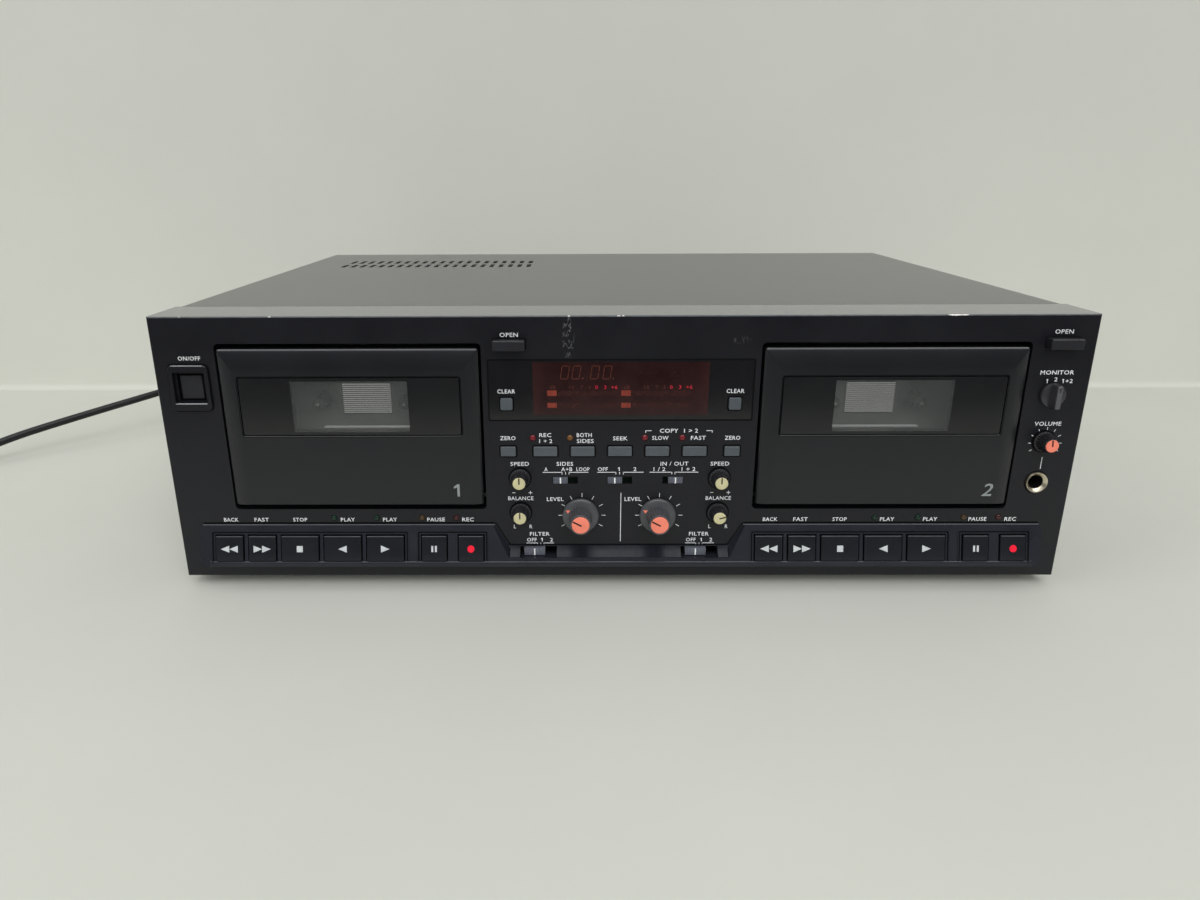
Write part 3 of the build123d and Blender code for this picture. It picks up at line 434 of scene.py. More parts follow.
def edgeBand(along, angle, proud):
    # a thin strip laid round the panel's top edge: places along x, and for each the angles it bends through
    top = spread("front_panel")[1][2]
    layers = []
    for radius in (chips["radius"] + proud, chips["radius"] - proud):
        y = chips["radius"] - radius * np.cos(angle)
        z = top - chips["radius"] + radius * np.sin(angle)
        layers.append(np.stack([np.broadcast_to(along, angle.shape), y, z], -1))
    return carried(*layers)


def makeChips():
    # bare metal with a ragged outline over the rounded top edge, and a painted highlight line along the whole
    # of it
    share = np.linspace(0, 1, 25)[:, None]
    around = np.linspace(-1, 1, 9)[None]
    coarse, fine = chips["waves"]
    shapes = []
    for number, (left, right, size) in enumerate(chips["places"]):
        swing = np.sin(share * coarse + number) * np.sin(share * fine + 2 * number)
        ragged = np.abs(np.sin(share * math.pi)) ** chips["blunt"] * (1 + chips["swing"] * (swing - 1))
        angle = math.pi / 4 + around * ragged * size * math.pi / 4
        shapes.append(edgeBand(left + (right - left) * share, angle, chips["proud"]))
    metal = finish("chippedEdge", chips["colour"], rough=0.4, shift=0.3, cloud=900.0, metallic=0.6)
    addPiece("edgeChips", shapes, metal)
    low, high = spread("front_panel")
    # painted highlight: a lighter band round the front of the rounded edge, where it catches the light
    inset = chips["shineInset"]
    start, end = np.array(chips["shineAngles"]) * math.pi
    angle = np.linspace(start, end, 5)[None] + 0 * share
    line = edgeBand(low[0] + inset + (high[0] - low[0] - 2 * inset) * share, angle, chips["proud"] / 2)
    addPiece("edgeShineLine", [line], finish("edgeShine", chips["line"], rough=0.42, shift=0.5, cloud=160.0))


makeChips()
print("panel finished")

# Lettering on the panel, in plain words and figures. Words: text, left, right, height of the middle.
# Brackets: left, right, height, places of the drops. Lines: both ends. Dials: centre, both radii

panelInk = dict(
    tall=1.95,
    words=[
        ("ON/OFF", -207.0, -196.5, 112.5), ("OPEN", -56.3, -47.7, 123.2), ("OPEN", 198.7, 207.3, 124.0),
        ("CLEAR", -58.2, -49.8, 96.3), ("CLEAR", 49.8, 58.2, 96.3),
        ("ZERO", -57.6, -50.2, 73.2), ("ZERO", 50.2, 57.6, 73.2),
        ("REC", -38.8, -33.0, 74.7), ("1 + 2", -38.8, -32.6, 71.7), ("BOTH", -20.8, -13.6, 74.7),
        ("SIDES", -20.8, -12.6, 71.7), ("SEEK", -3.4, 3.6, 73.0),
        ("COPY  1 > 2", 16.0, 40.2, 76.8), ("SLOW", 15.4, 23.2, 73.2), ("FAST", 33.8, 41.2, 73.2),
        ("SPEED", -54.0, -43.0, 60.1), ("SPEED", 43.0, 54.0, 60.1),
        ("SIDES", -31.6, -21.6, 60.1), ("A", -36.6, -35.0, 57.3), ("A+B", -28.4, -23.0, 57.3),
        ("LOOP", -21.0, -14.6, 57.3), ("OFF", -10.6, -5.8, 57.3), ("1", -0.9, 0.0, 57.3),
        ("2", 6.6, 8.2, 57.3),
        ("IN / OUT", 19.0, 34.0, 60.1), ("1 / 2", 16.0, 22.6, 57.3), ("1 + 2", 30.0, 36.8, 57.3),
        ("BALANCE", -54.6, -42.2, 42.2), ("BALANCE", 42.4, 54.8, 42.2),
        ("LEVEL", -35.6, -27.4, 41.7), ("LEVEL", 2.6, 10.8, 41.7),
        ("L", -52.2, -51.1, 27.1), ("R", -44.4, -43.0, 27.1), ("L", 44.4, 45.5, 27.1),
        ("R", 52.6, 54.0, 27.1),
        ("FILTER", -45.6, -33.2, 23.1), ("OFF", -45.8, -41.0, 19.9), ("1", -38.9, -38.0, 19.9),
        ("2", -34.4, -32.8, 19.9), ("FILTER", 33.6, 46.2, 23.1), ("OFF", 33.6, 38.4, 19.9),
        ("1", 40.6, 41.5, 19.9), ("2", 45.2, 46.8, 19.9),
        ("MONITOR", 194.8, 211.4, 104.8), ("1", 198.6, 199.4, 100.7), ("2", 202.3, 203.8, 101.5),
        ("1", 206.0, 206.8, 100.7), ("+2", 207.6, 211.0, 100.7), ("VOLUME", 196.8, 209.4, 79.9),
    ],
    keyWords=["BACK", "FAST", "STOP", "PLAY", "PLAY", "PAUSE", "REC"],
    keyLefts=[(-196.5, -181.3, -162.0, -138.2, -117.2, -95.2, -77.8),
              (71.2, 86.2, 105.6, 129.0, 150.2, 172.6, 190.2)],
    keyWidths=[7.2, 7.2, 7.0, 7.0, 7.0, 8.8, 5.8], keyMiddle=30.9,
    stroke=0.30, drop=1.1, tick=0.25, tickTurns=range(120, -121, -30),
    brackets=[(-37.4, -15.2, 55.7, (-28.0, -26.3, -24.6)), (-10.8, 11.6, 55.7, (-1.8, 0.0, 1.8)),
              (14.6, 38.2, 55.7, (25.4, 26.9)), (-46.2, -32.4, 18.1, (-40.6, -39.0, -37.4)),
              (33.2, 47.6, 18.1, (38.6, 40.2, 41.8))],
    lines=[(12.2, 76.8, 15.0, 76.8), (12.2, 77.0, 12.2, 75.8), (41.2, 76.8, 44.0, 76.8),
           (44.0, 77.0, 44.0, 75.8), (-52.5, 45.1, -50.9, 45.1), (-44.5, 45.1, -42.7, 45.1),
           (-43.6, 44.2, -43.6, 46.0), (44.5, 45.1, 46.1, 45.1), (52.5, 45.1, 54.3, 45.1),
           (53.4, 44.2, 53.4, 46.0), (0.8, 19.0, 0.8, 45.0), (203.3, 57.1, 203.3, 63.1)],
    dials=[(-18.3, 33.1, 9.7, 11.7), (19.7, 33.1, 9.7, 11.7), (203.3, 70.2, 6.6, 8.0)],
)


def panelStrokes():
    stroke, lines = panelInk["stroke"], []
    for left, right, height, drops in panelInk["brackets"]:
        lines.append(bar((left, height), (drops[0], height), stroke))
        lines.append(bar((drops[-1], height), (right, height), stroke))
        lines += [bar((x, height + stroke / 2), (x, height - panelInk["drop"]), stroke) for x in drops]
    lines += [bar(ends[:2], ends[2:], stroke) for ends in panelInk["lines"]]
    for dial in panelInk["dials"]:
        lines += [radial(*dial, panelInk["tick"], turn) for turn in panelInk["tickTurns"]]
    return [mark(line) for line in lines]


def makePanelInk():
    material = finish("paleInk", (0.72, 0.73, 0.74), rough=0.6, shift=0.10, cloud=700.0, lift=0.1)
    tall = panelInk["tall"]
    shapes = [word(*row, tall) for row in panelInk["words"]]
    for lefts in panelInk["keyLefts"]:
        for text, left, width in zip(panelInk["keyWords"], lefts, panelInk["keyWidths"]):
            shapes.append(word(text, left, left + width, panelInk["keyMiddle"], tall))
    addPiece("panelLettering", shapes, material)
    addPiece("panelLines", panelStrokes(), material)


makePanelInk()
print("lettering done")

# Transport bezel and the keys in it

bezelLook = dict(colour=(0.0150, 0.0160, 0.0215), shift=0.10, rough=0.30, roughShift=0.05, cloud=50.0,
                 grain=3000.0, lift=0.2, specular=0.42)
keyLook = dict(colour=(0.0066, 0.0074, 0.0108), shift=0.12, rough=0.38, cloud=120.0, grain=2600.0,
               lift=0.35, specular=0.42)
bezelFinish = finish("bezelGrey", **bezelLook)
dress(bezelFinish, "transport_bezel")
keyFinish = finish("keyBlack", **keyLook)
shadeFinish = finish("gapShade", (0.0025, 0.0025, 0.0028), rough=0.7, cloud=300.0, specular=0.15)
keys = dict(names=["rewind_key", "forward_key", "stop_key", "reverse_play_key", "play_key", "pause_key",
                   "record_key"],
            top=28.4, height=20.2, topReach=1.0, bottomReach=6.5, proud=0.7, bend=0.36, skin=0.06,
            chamfer=0.28, arrowWide=4.25, arrowTall=3.4, square=3.0, barWide=1.0, barGap=0.8, dot=1.75,
            arrows={"rewind_key": ((-1, 0), (0, 1)), "forward_key": ((1, 0), (0, -1)),
                    "reverse_play_key": ((-0.5, 0.5),), "play_key": ((0.5, -0.5),)},
            symbol=(0.50, 0.52, 0.53), record=(0.75, 0.004, 0.026), recordGlow=((1.0, 0.01, 0.05), 0.08))
keyLow, keyHigh = (end[2] for end in spread("play_key_1"))


def bezelDepth(height):
    share = (keys["top"] - height) / keys["height"]
    return -(keys["topReach"] + (keys["bottomReach"] - keys["topReach"]) * share)


def keyDepth(height):
    return bezelDepth(height) - keys["proud"]


def keyFace(height):
    # the sloping face, a little steeper in its lower part: the lift over the slope is twice the share of
    # the bend's height less its square, times a quarter of the slope's run there
    bend = keys["bend"] * (keyHigh - keyLow)
    share = np.clip((height - keyLow) / bend, 0, 1)
    run = (keys["bottomReach"] - keys["topReach"]) / keys["height"] * bend
    return keyDepth(height) - keys["skin"] - run / 4 * (2 * share - share ** 2)


def makeKeyFace(node):
    # a grid over the key's front whose outermost lines fall back as a chamfer
    low, high = spread(node)
    cut = keys["chamfer"]
    x = np.r_[low[0], np.linspace(low[0] + cut, high[0] - cut, 7), high[0]][None]
    z = np.r_[low[2], np.linspace(low[2] + cut, high[2] - cut, 25), high[2]][:, None]
    x, z = np.broadcast_arrays(x, z)
    rim = np.max([low[0] + cut - x, x - high[0] + cut, low[2] + cut - z, z - high[2] + cut], 0)
    front = np.stack([x, keyFace(z) + np.clip(rim, 0, cut), z], -1)
    back = np.stack([x, keyDepth(z) + 2 * cut, z], -1)
    return carried(front, back)


def keySymbol(name, x, z):
    wide, half, tall = keys["arrowWide"], keys["square"] / 2, keys["arrowTall"] / 2
    if name in keys["arrows"]:
        return [np.array([(x + tip * wide, z), (x + tail * wide, z + tall), (x + tail * wide, z - tall)])
                for tip, tail in keys["arrows"][name]]
    if name == "stop_key":
        return [oblong(x - half, x + half, z - half, z + half)]
    if name == "pause_key":
        step = (keys["barGap"] + keys["barWide"]) / 2
        return [bar((x + side, z - half), (x + side, z + half), keys["barWide"]) for side in (-step, step)]
    return [disc(x, z, keys["dot"])]


def makeKeys():
    symbolFinish = finish("keySymbol", keys["symbol"], rough=0.55, cloud=500.0, lift=0.1)
    # the printed record dot glows a little though it is no lamp: painted glow
    recordFinish = finish("recordDot", keys["record"], rough=0.5, cloud=500.0, lift=0.1,
                          glow=keys["recordGlow"])
    for node, name in ((f"{name}_{number}", name) for number in decks for name in keys["names"]):
        dress(keyFinish, node)
        x, _, z = spot(node)
        addPiece(f"{node}_face", [makeKeyFace(node)], keyFinish, node, sharp=25)
        shapes = [slopedTo(mark(outline), keyFace) for outline in keySymbol(name, x, z)]
        addPiece(f"{node}_symbol", shapes, recordFinish if name == "record_key" else symbolFinish, node)


surround = dict(groups=[("rewind_key", "play_key"), ("pause_key", "record_key")], room=2.0, grooveShadeWide=0.75,
                grooveShadeHigh=0.03, ridgeWide=0.45, ridgeHigh=0.3, sink=0.1, outerCorner=0.9, innerCorner=0.6,
                edgeHalf=207.0, scoopHalf=61.6, scoopSide=[(61.3, 29.3), (54.3, 17.3)], scoopWide=0.6,
                footHalf=54.6, foot=17.35, line=29.1, lineWide=0.8,
                ridge=[(0.1, 28.7), (-0.75, 28.7), (-1.1, 28.35), (0.1, 28.35)])


def makeKeySurrounds(groups, room, grooveShadeWide, grooveShadeHigh, ridgeWide, ridgeHigh, sink, outerCorner,
                     innerCorner, edgeHalf, scoopHalf, scoopSide, scoopWide, footHalf, foot, line, lineWide,
                     ridge):
    # round each group of keys a thin strip of painted shade where a groove lies dark, and outside it a low
    # ridge that follows the sloping face;
    # a painted shade line and a ridge along the bezel's top, and a painted shade line round the scooped
    # middle
    grooveShades, ridges = [], []
    styles = ((grooveShades, 0.0, grooveShadeWide, grooveShadeHigh), (ridges, ridgeWide, ridgeWide, ridgeHigh))
    for number, (first, last) in ((number, group) for number in decks for group in groups):
        low, high = spread(f"{first}_{number}")[0] - room, spread(f"{last}_{number}")[1] + room
        for kept, out, wide, lift in styles:
            steps = ((out, sink, outerCorner), (out, -lift, outerCorner), (out - wide, -lift, innerCorner),
                     (out - wide, sink, innerCorner))
            rings = [(low[0] - edge, high[0] + edge, low[2] - edge, high[2] + edge, depth, corner)
                     for edge, depth, corner in steps]
            kept.append(slopedTo(framed(rings, hollow=True), bezelDepth))
    for side in (-1, 1):
        left, right = sorted((side * edgeHalf, side * scoopHalf))
        grooveShades.append(mark(bar((left, line), (right, line), lineWide)))
        grooveShades.append(mark(bar(*((side * x, z) for x, z in scoopSide), scoopWide)))
        ridges.append(ledge(left, right, ridge))
    grooveShades.append(mark(bar((-footHalf, foot), (footHalf, foot), scoopWide)))
    addPiece("keyGrooveShades", grooveShades, shadeFinish)
    addPiece("keyRidges", ridges, bezelFinish)


cove = dict(high=16.95, low=12.75, highDepth=-0.62, lowDepth=-5.22, sag=0.25, thick=0.35,
            spans=[(-54.2, -49.3), (-30.8, 30.8), (49.3, 54.2)],
            look=dict(colour=(0.0085, 0.0095, 0.0140), shift=0.14, rough=0.26, roughShift=0.08, cloud=160.0,
                      grain=900.0, lift=0.04, stretch=(1.0, 0.03, 0.03), specular=0.13))


def makeCove(high, low, highDepth, lowDepth, sag, thick, spans, look):
    # a smooth facing down the scooped middle, in strips between the slots, with soft upright streaks
    drop = np.linspace(0, 1, 9)
    depth = highDepth + (lowDepth - highDepth) * drop + sag * np.sin(drop * math.pi)
    front = np.c_[depth, high + (low - high) * drop]
    loop = np.r_[front, front[::-1] + [thick, -thick]]
    addPiece("coveFacing", [ledge(*span, loop) for span in spans], finish("coveGloss", **look))


bead = dict(half=204.0, taper=5.0, lift=0.02, thick=0.4,
            profile=[(10.9, 0.0), (10.6, 0.35), (10.2, 0.52), (9.7, 0.46), (9.2, 0.38), (8.7, 0.20),
                     (8.35, 0.06), (8.15, 0.0)])


def makeBead(half, taper, lift, thick, profile):
    # the bezel's lower edge: a small ledge above a near-upright face, carried along x; rows of height and
    # of how far it stands off the sloping face, which falls to nothing at both ends
    along = np.linspace(-1, 1, 81)[:, None]
    end = np.clip((1 - np.abs(along)) * half / taper, 0, 1) ** 0.5
    z, swell = np.array(profile).T[:, None]
    x, z = np.broadcast_arrays(along * half, z)
    front = np.stack([x, bezelDepth(z) - lift - swell * end, z], -1)
    back = np.stack([x, bezelDepth(z) + thick, z], -1)
    addPiece("bezelBead", [carried(front, back)], bezelFinish, sharp=50)


makeKeys()
makeKeySurrounds(**surround)
makeCove(**cove)
makeBead(**bead)
print("keys done")

# Cassette doors: a shell with rounded bevels, a dark window insert with a clear middle, and a figure

doors = dict(low=39.2, high=spread("cassette_door_1")[1][2], half=60.85, edgeProud=1.2, proud=3.2,
             bevelSide=8.0, bevelTop=11.0, bevelBottom=1.2, bevelSteps=18, sineShare=0.68, crowd=1.7,
             corner=0.7, chamfer=0.5, back=8.0, wall=3.0, inside=-0.7, ledge=1.8, hingeRise=3.2,
             hingeDepth=4.6, pinRadius=1.3, pinReach=6.0, railInner=51.0, railWall=2.0, railBack=26.0,
             railLow=47.0, railHigh=109.0, shade=0.35,
             look=dict(colour=(0.0084, 0.0087, 0.0106), shift=0.08, rough=0.34, cloud=30.0, grain=3000.0,
                       specular=0.47))
window = dict(wide=104.1, tall=28.3, middle=89.65, clearWide=55.0, clearTall=24.8, front=-3.0, back=-1.0,
              gap=0.2, rim=0.3, rimCorner=1.1, groove=0.35, paneGap=0.04,
              insert=dict(colour=(0.0075, 0.0077, 0.0085), shift=0.06, rough=0.20, roughShift=0.03,
                          cloud=40.0, grain=900.0, lift=0.03),
              pane=dict(colour=(0.086, 0.090, 0.088), shift=0.12, rough=0.12, roughShift=0.03, grain=500.0,
                        lift=0.02, alpha=0.38))
# painted highlight: a pale glowing strip behind the window, near its lower edge
windowGlint = dict(near=-27.0, far=14.0, low=78.85, high=79.2, colour=(0.50, 0.51, 0.48),
                 glow=((0.92, 1.0, 1.0), 0.22))
doorFigure = dict(places=[(-80.6, -77.8), (175.2, 180.4)], shears=[0.0, 0.2], middle=47.6, tall=6.4,
                  colour=(0.24, 0.26, 0.26))


def doorRing(x, side, bottom, top, depth, corner):
    return (x - doors["half"] + side, x + doors["half"] - side, doors["low"] + bottom, doors["high"] - top,
            depth, corner)


def windowRing(x, wide, tall, depth, corner):
    return ringAt(x, window["middle"], wide, tall, depth, corner)


def rimRing(x):
    # the edge of the window's seat, on the door's flat front
    room = 2 * window["gap"] + window["rim"]
    return windowRing(x, window["wide"] + room, window["tall"] + room, -doors["proud"], window["rimCorner"])


def makeDoorShell(x):
    # rings from the clear opening over the front, round the edge and back along the inside;
    # the bevel is a quarter sine mixed with a quarter ellipse, from the flat front down to the edge, its
    # lines closer near the edge
    wide, tall = window["wide"] + 2 * window["gap"], window["tall"] + 2 * window["gap"]
    clear = window["clearWide"], window["clearTall"]
    boss = wide + 2 * doors["wall"], tall + 2 * doors["wall"]
    cut, seat, inset = doors["chamfer"], window["back"] + window["gap"], [doors["wall"]] * 3
    rings = [windowRing(x, *clear, doors["ledge"], 0.5), windowRing(x, *clear, seat, 0.5),
             windowRing(x, wide, tall, seat, 1.0), windowRing(x, wide, tall, 0.15 - doors["proud"], 1.0),
             rimRing(x)]
    mix = doors["sineShare"]
    for share in np.linspace(1, 0, doors["bevelSteps"]) ** doors["crowd"]:
        rise = mix * math.sin(share * math.pi / 2) + (1 - mix) * math.sqrt(1 - (1 - share) ** 2)
        depth = doors["edgeProud"] + (doors["proud"] - doors["edgeProud"]) * rise
        bevel = [cut + (doors[key] - cut) * share for key in ("bevelSide", "bevelBottom", "bevelTop")]
        rings.append(doorRing(x, *bevel, -depth, doors["corner"] * (1 - share) + 0.05))
    corner = doors["corner"] + cut
    rings += [doorRing(x, 0, 0, 0, cut - doors["edgeProud"], corner),
              doorRing(x, 0, 0, 0, doors["back"], corner),
              doorRing(x, *inset, doors["back"], 0.4), doorRing(x, *inset, doors["inside"], 0.4),
              windowRing(x, *boss, doors["inside"], 0.5), windowRing(x, *boss, doors["ledge"], 0.5)]
    return framed(rings, steps=3, hollow=True)


def hingePin(x, side):
    # a round bar along x, from inside the door's edge to its bearing
    start = doors["half"] - doors["wall"]
    return ledge(x + side * start, x + side * (start + doors["pinReach"]),
                 disc(doors["hingeDepth"], doors["low"] + doors["hingeRise"], doors["pinRadius"], 24))


def makeDoors():
    doorFinish = finish("doorBlack", **doors["look"])
    insertFinish = finish("insertGloss", **window["insert"])
    figureFinish = finish("doorFigure", doorFigure["colour"], rough=0.55, cloud=400.0, lift=0.1)
    paneFinish = finish("smokedPane", **window["pane"])  # most light passes through a thin grey veil
    glintFinish = finish("lipGlint", windowGlint["colour"], rough=0.3, cloud=200.0, glow=windowGlint["glow"])
    front, back, groove, gap = (window[key] for key in ("front", "back", "groove", "paneGap"))
    wide, tall = window["wide"] - groove, window["tall"] - groove
    clearWide, clearTall = window["clearWide"], window["clearTall"]
    for number, place, shear in zip(decks, doorFigure["places"], doorFigure["shears"]):
        node = f"cassette_door_{number}"
        x = spot(node)[0]
        shapes = [makeDoorShell(x)]
        for side in (-1, 1):
            ends = sorted(x + side * (doors["railInner"] + wall) for wall in (0, doors["railWall"]))
            shapes.append(slab(*ends, doors["railLow"], doors["railHigh"], doors["inside"] - 0.1,
                               doors["railBack"], 0.1, 0.1))
            shapes.append(hingePin(x, side))
        addPiece(f"doorShell_{number}", shapes, doorFinish, node, [node], 20, True)
        rows = ((wide - 0.4, tall - 0.4, front, 0.8), (wide, tall, front + 0.2, 1.0), (wide, tall, back, 1.0),
                (clearWide, clearTall, back, 0.4), (clearWide, clearTall, front, 0.4))
        ring = framed([windowRing(x, *row) for row in rows], hollow=True)
        addPiece(f"windowInsert_{number}", [ring], insertFinish, node, weighted=True)
        pane = [windowRing(x, clearWide - gap, clearTall - gap, depth, 0.4) for depth in (front, back)]
        addPiece(f"windowPane_{number}", [framed(pane)], paneFinish, node)
        toDisplay = -1 if number == 1 else 1  # painted highlight: a pale strip that glows where the lip catches the light, on the side next to the display
        left, right = sorted((windowGlint["near"] * toDisplay, windowGlint["far"] * toDisplay))
        strip = slab(x + left, x + right, windowGlint["low"], windowGlint["high"], back + 0.1, doors["ledge"],
                     0.1, 0.1)
        addPiece(f"windowGlint_{number}", [strip], glintFinish, node)
        addPiece(f"insertShade_{number}", [border(rimRing(x), 0, doors["shade"])], shadeFinish, node)
        figure = word(str(number), *place, doorFigure["middle"], doorFigure["tall"], -doors["proud"], shear)
        addPiece(f"doorFigure_{number}", [figure], figureFinish, node)


makeDoors()
print("doors done")

# Behind the doors: plated mechanism with painted shade outside the window's view, spindles with pale tips,
# and ribbed reflectors with painted highlight lines

mechanism = dict(colour=(0.42, 0.435, 0.41), paintedShade=(0.006, 0.006, 0.006), shown=(68.0, 107.0))
spindle = dict(hub=3.0, colour=(0.20, 0.205, 0.19), tipColour=(0.85, 0.82, 0.70),
               tip=[(0, -1.2), (0.4, -1.08), (0.72, -0.6), (0.8, 0.3), (0, 0.3)])
reflector = dict(wide=24.3, tall=15.7, front=28.2, back=28.8, ribs=15, ribHeight=0.45,
                 colour=(0.10, 0.102, 0.10), lamp=(1.0, 1.0, 0.94), dim=0.01, glow=0.62, glowFrom=0.4,
                 glowTo=0.85)
spindles = [f"{side}_spindle_{number}" for side in ("supply", "takeup") for number in decks]


def makePlating():
    # bright plated colour where the window shows it; painted shade, near black, above and below, where only
    # the door's gaps show it
    material = finish("platedSteelAndShade", mechanism["colour"], rough=0.45, shift=0.12, cloud=70.0)
    tree = material.node_tree
    low, high = (baseZ + level * mm for level in mechanism["shown"])
    away = compute(tree, "SUBTRACT", split(tree, objectPlace(tree))["Z"], (low + high) / 2)
    outside = compute(tree, "GREATER_THAN", compute(tree, "ABSOLUTE", away), (high - low) / 2)
    overlay(material, outside, mechanism["paintedShade"])
    dress(material, "tape_mechanisms")


def axis(node):
    # x and z of a spindle's axis, which lies one hub radius above the lowest point
    return spot(node)[0], spread(node)[0][2] + spindle["hub"]


def makeSpindles():
    dress(finish("spindleGrey", spindle["colour"], rough=0.4, cloud=300.0), *spindles)
    tipFinish = finish("paleTip", spindle["tipColour"], rough=0.35, cloud=500.0)
    for node in spindles:
        front = spread(node)[0][1]
        tip = turned([(radius, front + depth) for radius, depth in spindle["tip"]], axis(node), 24)
        addPiece(f"{node}_tip", [tip], tipFinish, node)


def makeReflectors(wide, tall, front, back, ribs, ribHeight, colour, lamp, dim, glow, glowFrom, glowTo):
    # rows of ribs: depth falls and rises as a cosine of the height; a band on each rib glows, a painted
    # highlight line
    silver = finish("reflectorSilverShine", colour, rough=0.30, shift=0.10, cloud=300.0, stretch=(1.0, 1.0, 4.0),
                    glow=(lamp, 0.0))
    tree = silver.node_tree
    foot = baseZ + (axis("supply_spindle_1")[1] - tall / 2) * mm
    half = tall * mm / ribs / 2
    rib = compute(tree, "SUBTRACT", split(tree, objectPlace(tree))["Z"], foot)
    # painted highlight: the glow rises from dim to full in a band on each rib; the colour called lamp is only
    # the colour of this glow
    shine = ranged(tree, compute(tree, "PINGPONG", rib, half), half * glowFrom, half * glowTo, dim, glow)
    connect(tree, tree.nodes["Principled BSDF"], {"Emission Strength": shine})
    rise = np.linspace(-0.5, 0.5, ribs * 8 + 1)[:, None]
    across = np.linspace(-0.5, 0.5, 3)[None]
    depth = front + np.cos(rise * 2 * math.pi * ribs) * ribHeight / 2
    shapes = []
    for number in decks:
        x, z = spot(f"cassette_door_{number}")[0], axis(f"supply_spindle_{number}")[1]
        face = np.stack(np.broadcast_arrays(x + across * wide, depth, z + rise * tall), -1)
        rear = face.copy()
        rear[..., 1] = back
        shapes.append(carried(face, rear))
    addPiece("reflectors", shapes, silver, sharp=60)


makePlating()
makeSpindles()
makeReflectors(**reflector)
print("mechanism done")

# Push buttons: grey function and reset buttons, black eject and power buttons

functionNames = ["return_zero_button_1", "dual_record_button", "sync_reverse_button",
                 "program_search_button", "dub_normal_button", "dub_fast_button", "return_zero_button_2"]
resetNames = ["reset_button_1", "reset_button_2"]
blackNames = ["eject_button_1", "eject_button_2", "power_button"]
buttonLook = dict(colour=(0.067, 0.078, 0.087), shift=0.10, rough=0.42, cloud=180.0, grain=2800.0, lift=0.3)
ejectLook = dict(colour=(0.016, 0.016, 0.020), shift=0.10, rough=0.40, cloud=120.0, grain=2600.0, lift=0.35,
                 specular=0.42)
edgeLook = dict(colour=(0.018, 0.018, 0.021), rough=0.22, roughShift=0.03, cloud=120.0, lift=0.1,
                specular=0.75)
buttonFinish = finish("buttonGrey", **buttonLook)
dress(buttonFinish, *functionNames, *resetNames)
dress(finish("ejectBlack", **ejectLook), *blackNames)
edgeFinish = finish("polishedEdge", **edgeLook)
topEdge = dict(size=0.42, proud=0.03, inset=0.35)


def slopedEdge(left, right, front, top, size):
    # an upper front edge, cut to a slope that catches the light
    proud, back = topEdge["proud"], front + size
    return ledge(left, right, [(back, top + proud), (back - 2 * proud, top + proud),
                               (front - proud, top - size), (back, top - size)])


def makeTopEdges():
    inset = topEdge["inset"]
    for names, material in ((functionNames + resetNames, buttonFinish), (blackNames, edgeFinish)):
        for node in names:
            low, high = spread(node)
            shape = slopedEdge(low[0] + inset, high[0] - inset, low[1], high[2], topEdge["size"])
            addPiece(f"{node}_edge", [shape], material, node)


powerFrame = dict(wide=18.9, tall=22.1, corner=2.1, edge=0.45, front=-1.45, back=-0.3, wellWide=15.4,
                  wellTall=15.0, wellCut=0.3, lipWide=12.6, lipTall=13.2, lipFront=1.2, lipBack=2.2,
                  lipCut=0.1, shade=0.6)


def makePowerFrame(wide, tall, corner, edge, front, back, wellWide, wellTall, wellCut, lipWide, lipTall,
                   lipFront, lipBack, lipCut, shade):
    # a bevelled rim round the power button's well, a step inside it, edges that shine, and painted shade in
    # the gap outside
    x, _, z = spot("power_button")

    def hollow(*rows):
        return framed([ringAt(x, z, *row) for row in rows], hollow=True)

    inner, step = ((wellWide - cut, wellTall - cut) for cut in (wellCut, lipCut))
    rim = hollow((wide, tall, back, corner), (wide, tall, front + edge, corner),
                 (wide - 2 * edge, tall - 2 * edge, front, corner - edge),
                 (wellWide + edge, wellTall + edge, front, 0.7), (*inner, front + edge, 0.5),
                 (*inner, back, 0.5))
    lip = hollow((*step, lipBack, 0.4), (*step, lipFront, 0.4), (lipWide, lipTall, lipFront, 0.4),
                 (lipWide, lipTall, lipBack, 0.4))
    addPiece("powerFrame", [rim, lip], panelFinish)
    reach, deep = wide / 2 - corner, front + 2 * edge
    well, bright = z - (wellTall + edge) / 2, front - topEdge["proud"]
    upper = slopedEdge(x - reach, x + reach, front, z + tall / 2, edge)
    lower = ledge(x - wellWide / 2, x + wellWide / 2,
                  [(bright, well), (front + edge, well + edge), (deep, well + edge), (deep, well)])
    addPiece("powerEdges", [upper, lower], edgeFinish)
    addPiece("powerShade", [border(ringAt(x, z, wide, tall, 0.0, corner), 0.0, shade)], shadeFinish)


makePowerFrame(**powerFrame)
makeTopEdges()

# Slide switches: ribbed levers with a pale line

levers = dict(names=["reverse_mode_switch", "link_mode_switch", "output_mode_switch", "noise_switch_1",
                     "noise_switch_2"], ribs=6, ribDepth=0.45, flat=0.09, flatFade=0.03, endFade=0.04,
              cut=0.12, stripe=0.62, stripeInset=0.15, stripeSink=0.02, stripeLift=0.05,
              colour=(0.105, 0.112, 0.135), lineColour=(0.80, 0.80, 0.79))


